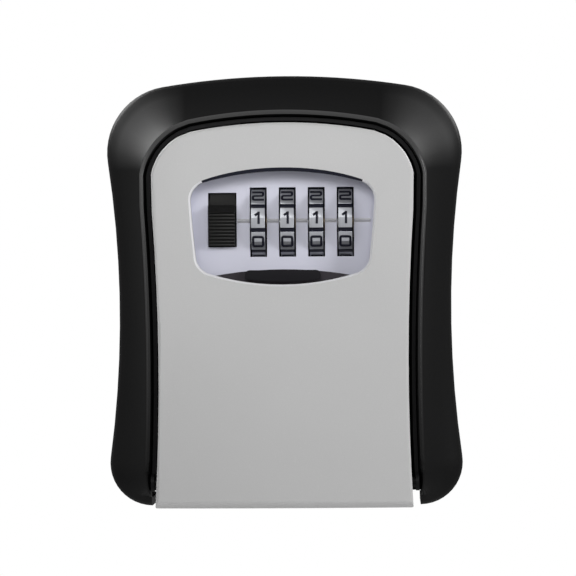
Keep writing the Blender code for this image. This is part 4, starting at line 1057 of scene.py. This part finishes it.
class LOCKBOX_OT_stage(bpy.types.Operator):
    """Set the floor, the lamps, the white surroundings and the camera"""

    bl_idname = "lockbox.stage"
    bl_label = "Stage"

    floor_drop = 0.25
    floor_half = 0.9
    floor_segments = 8
    floor_roughness = 0.9
    floor_glow = 0.5
    surround_strength = 0.12
    camera_azimuth = math.radians(2.0)
    camera_roll = math.radians(-0.4)
    camera_aside = 0.0014
    camera_distance = 0.752
    focal_length = 178.4
    sensor_width = 36.0

    # Two lamps before the front, one at each side and one behind each upper corner.
    lamps = (
        Lamp("key_lamp", (-0.04, -0.18, 0.065), width=0.2, height=0.06, power=0.075),
        Lamp("dial_lamp", (0.0, -0.4, 0.14), width=0.16, height=0.09, power=0.33),
        Lamp("right_lamp", (0.62, -0.45, 0.14), width=0.25, height=0.3, power=2.6),
        Lamp("left_lamp", (-0.45, -0.22, 0.1), width=0.12, height=0.3, power=0.12),
        Lamp("left_corner_lamp", (-0.19, 0.15, 0.19), width=0.26, height=0.15, power=1.1),
        Lamp("right_corner_lamp", (0.19, 0.15, 0.175), width=0.26, height=0.13, power=1.0),
    )

    def execute(self, context):
        self.make_floor(context)
        self.make_surroundings(context)
        for lamp in self.lamps:
            self.add_lamp(context, lamp)
        self.make_camera(context)
        context.scene.view_settings.view_transform = "Standard"
        return {"FINISHED"}

    def make_floor(self, context):
        """A plain pale floor well below the box."""
        low = CAD_BOX[0][2] - self.floor_drop
        bm = bmesh.new()
        bmesh.ops.create_grid(
            bm,
            x_segments=self.floor_segments,
            y_segments=self.floor_segments,
            size=self.floor_half,
            matrix=Matrix.Translation((0, 0, low)),
        )
        floor = bpy.data.objects.new("floor", to_mesh(bm, "floor"))
        context.scene.collection.objects.link(floor)
        floor.data.materials.append(self.floor_paper(context.scene.lock_box_colours.backdrop))

    def floor_paper(self, colour):
        """Pale paper that looks lit from within to the camera and in reflections."""
        finish = Finish("floor_paper")
        path = add_node(finish.tree, "ShaderNodeLightPath", {}, {}).outputs
        rays = ("Is Camera Ray", "Is Glossy Ray", "Is Transmission Ray")
        camera, glossy, transmission = (Value(finish.tree, path[name]) for name in rays)
        glow = tone(WHITE[:3], self.floor_glow)
        return finish.wear(
            Base_Color=finish.shade(finish.noise(FLOOR_CLOUD), colour, FLOOR_TONES),
            Roughness=self.floor_roughness,
            Emission_Color=finish.mix(camera + glossy + transmission, BLACK, glow),
            Emission_Strength=1.0,
        )

    def make_surroundings(self, context):
        """White for the camera and in reflections, a plain soft grey as light."""
        world = bpy.data.worlds.new("studio")
        context.scene.world = world
        world.use_nodes = True
        tree = world.node_tree
        light = tree.nodes["Background"]
        light.inputs["Color"].default_value = WHITE
        light.inputs["Strength"].default_value = self.surround_strength
        white = add_node(tree, "ShaderNodeBackground", {}, {"Color": WHITE, "Strength": 1.0})
        path = add_node(tree, "ShaderNodeLightPath", {}, {}).outputs
        seen = path["Is Camera Ray"]
        for name in ("Is Glossy Ray", "Is Transmission Ray"):
            either = add_node(tree, "ShaderNodeMath", {"operation": "MAXIMUM"}, {0: seen, 1: path[name]})
            seen = either.outputs[0]
        inputs = {"Fac": seen, 1: light.outputs[0], 2: white.outputs[0]}
        both = add_node(tree, "ShaderNodeMixShader", {}, inputs)
        tree.links.new(both.outputs[0], tree.nodes["World Output"].inputs["Surface"])

    def add_lamp(self, context, lamp):
        """An area lamp that faces the box."""
        light = bpy.data.lights.new(lamp.name, "AREA")
        light.shape = "RECTANGLE"
        light.size = lamp.width
        light.size_y = lamp.height
        light.energy = lamp.power
        holder = bpy.data.objects.new(lamp.name, light)
        holder.location = lamp.place
        holder.rotation_euler = (-Vector(lamp.place)).to_track_quat("-Z", "Y").to_euler()
        context.scene.collection.objects.link(holder)

    def make_camera(self, context):
        """A long lens a little to the right of the middle, level with it."""
        camera = bpy.data.cameras.new("camera")
        camera.sensor_width = self.sensor_width
        camera.lens = self.focal_length
        holder = bpy.data.objects.new("camera", camera)
        front = Vector((self.camera_aside, CAD_BOX[0][1], 0.0))
        away = Vector((math.sin(self.camera_azimuth), -math.cos(self.camera_azimuth), 0.0))
        place = front + away * self.camera_distance
        aim = (-away).to_track_quat("-Z", "Y").to_matrix().to_4x4()
        roll = Matrix.Rotation(self.camera_roll, 4, "Z")
        holder.matrix_world = Matrix.Translation(place) @ aim @ roll
        context.scene.collection.objects.link(holder)
        context.scene.camera = holder


PIECE_OPERATORS = (
    LOCKBOX_OT_surround,
    LOCKBOX_OT_tray,
    LOCKBOX_OT_door,
    LOCKBOX_OT_dial_plate,
    LOCKBOX_OT_dials,
    LOCKBOX_OT_slide,
    LOCKBOX_OT_shutter,
    LOCKBOX_OT_lock,
    LOCKBOX_OT_fasteners,
    LOCKBOX_OT_stage,
)


class LOCKBOX_PT_sidebar(bpy.types.Panel):
    """The lock box's sizes, colours and pieces"""

    bl_idname = "LOCKBOX_PT_sidebar"
    bl_label = "Key Lock Box"
    bl_space_type = "VIEW_3D"
    bl_region_type = "UI"
    bl_category = "Key Lock Box"

    def draw(self, context):
        layout = self.layout
        for group in (context.scene.lock_box_sizes, context.scene.lock_box_colours):
            for name in group.bl_rna.properties.keys():
                if name not in {"rna_type", "name"}:
                    layout.prop(group, name)
        for operator in PIECE_OPERATORS:
            layout.operator(operator.bl_idname)


CLASSES = (LockBoxSizes, LockBoxColours, *PIECE_OPERATORS, LOCKBOX_PT_sidebar)


def register():
    """Register the classes and hang the settings on the scene."""
    for item in CLASSES:
        bpy.utils.register_class(item)
    bpy.types.Scene.lock_box_sizes = bpy.props.PointerProperty(type=LockBoxSizes)
    bpy.types.Scene.lock_box_colours = bpy.props.PointerProperty(type=LockBoxColours)


def unregister():
    """Take the settings and the classes away again."""
    del bpy.types.Scene.lock_box_colours
    del bpy.types.Scene.lock_box_sizes
    for item in reversed(CLASSES):
        bpy.utils.unregister_class(item)


def main():
    """Dress every piece and set the stage."""
    register()
    FINISHES.update(make_finishes(bpy.context.scene.lock_box_colours))
    for operator in PIECE_OPERATORS:
        group, name = operator.bl_idname.split(".")
        getattr(getattr(bpy.ops, group), name)()


if __name__ == "__main__":
    main()
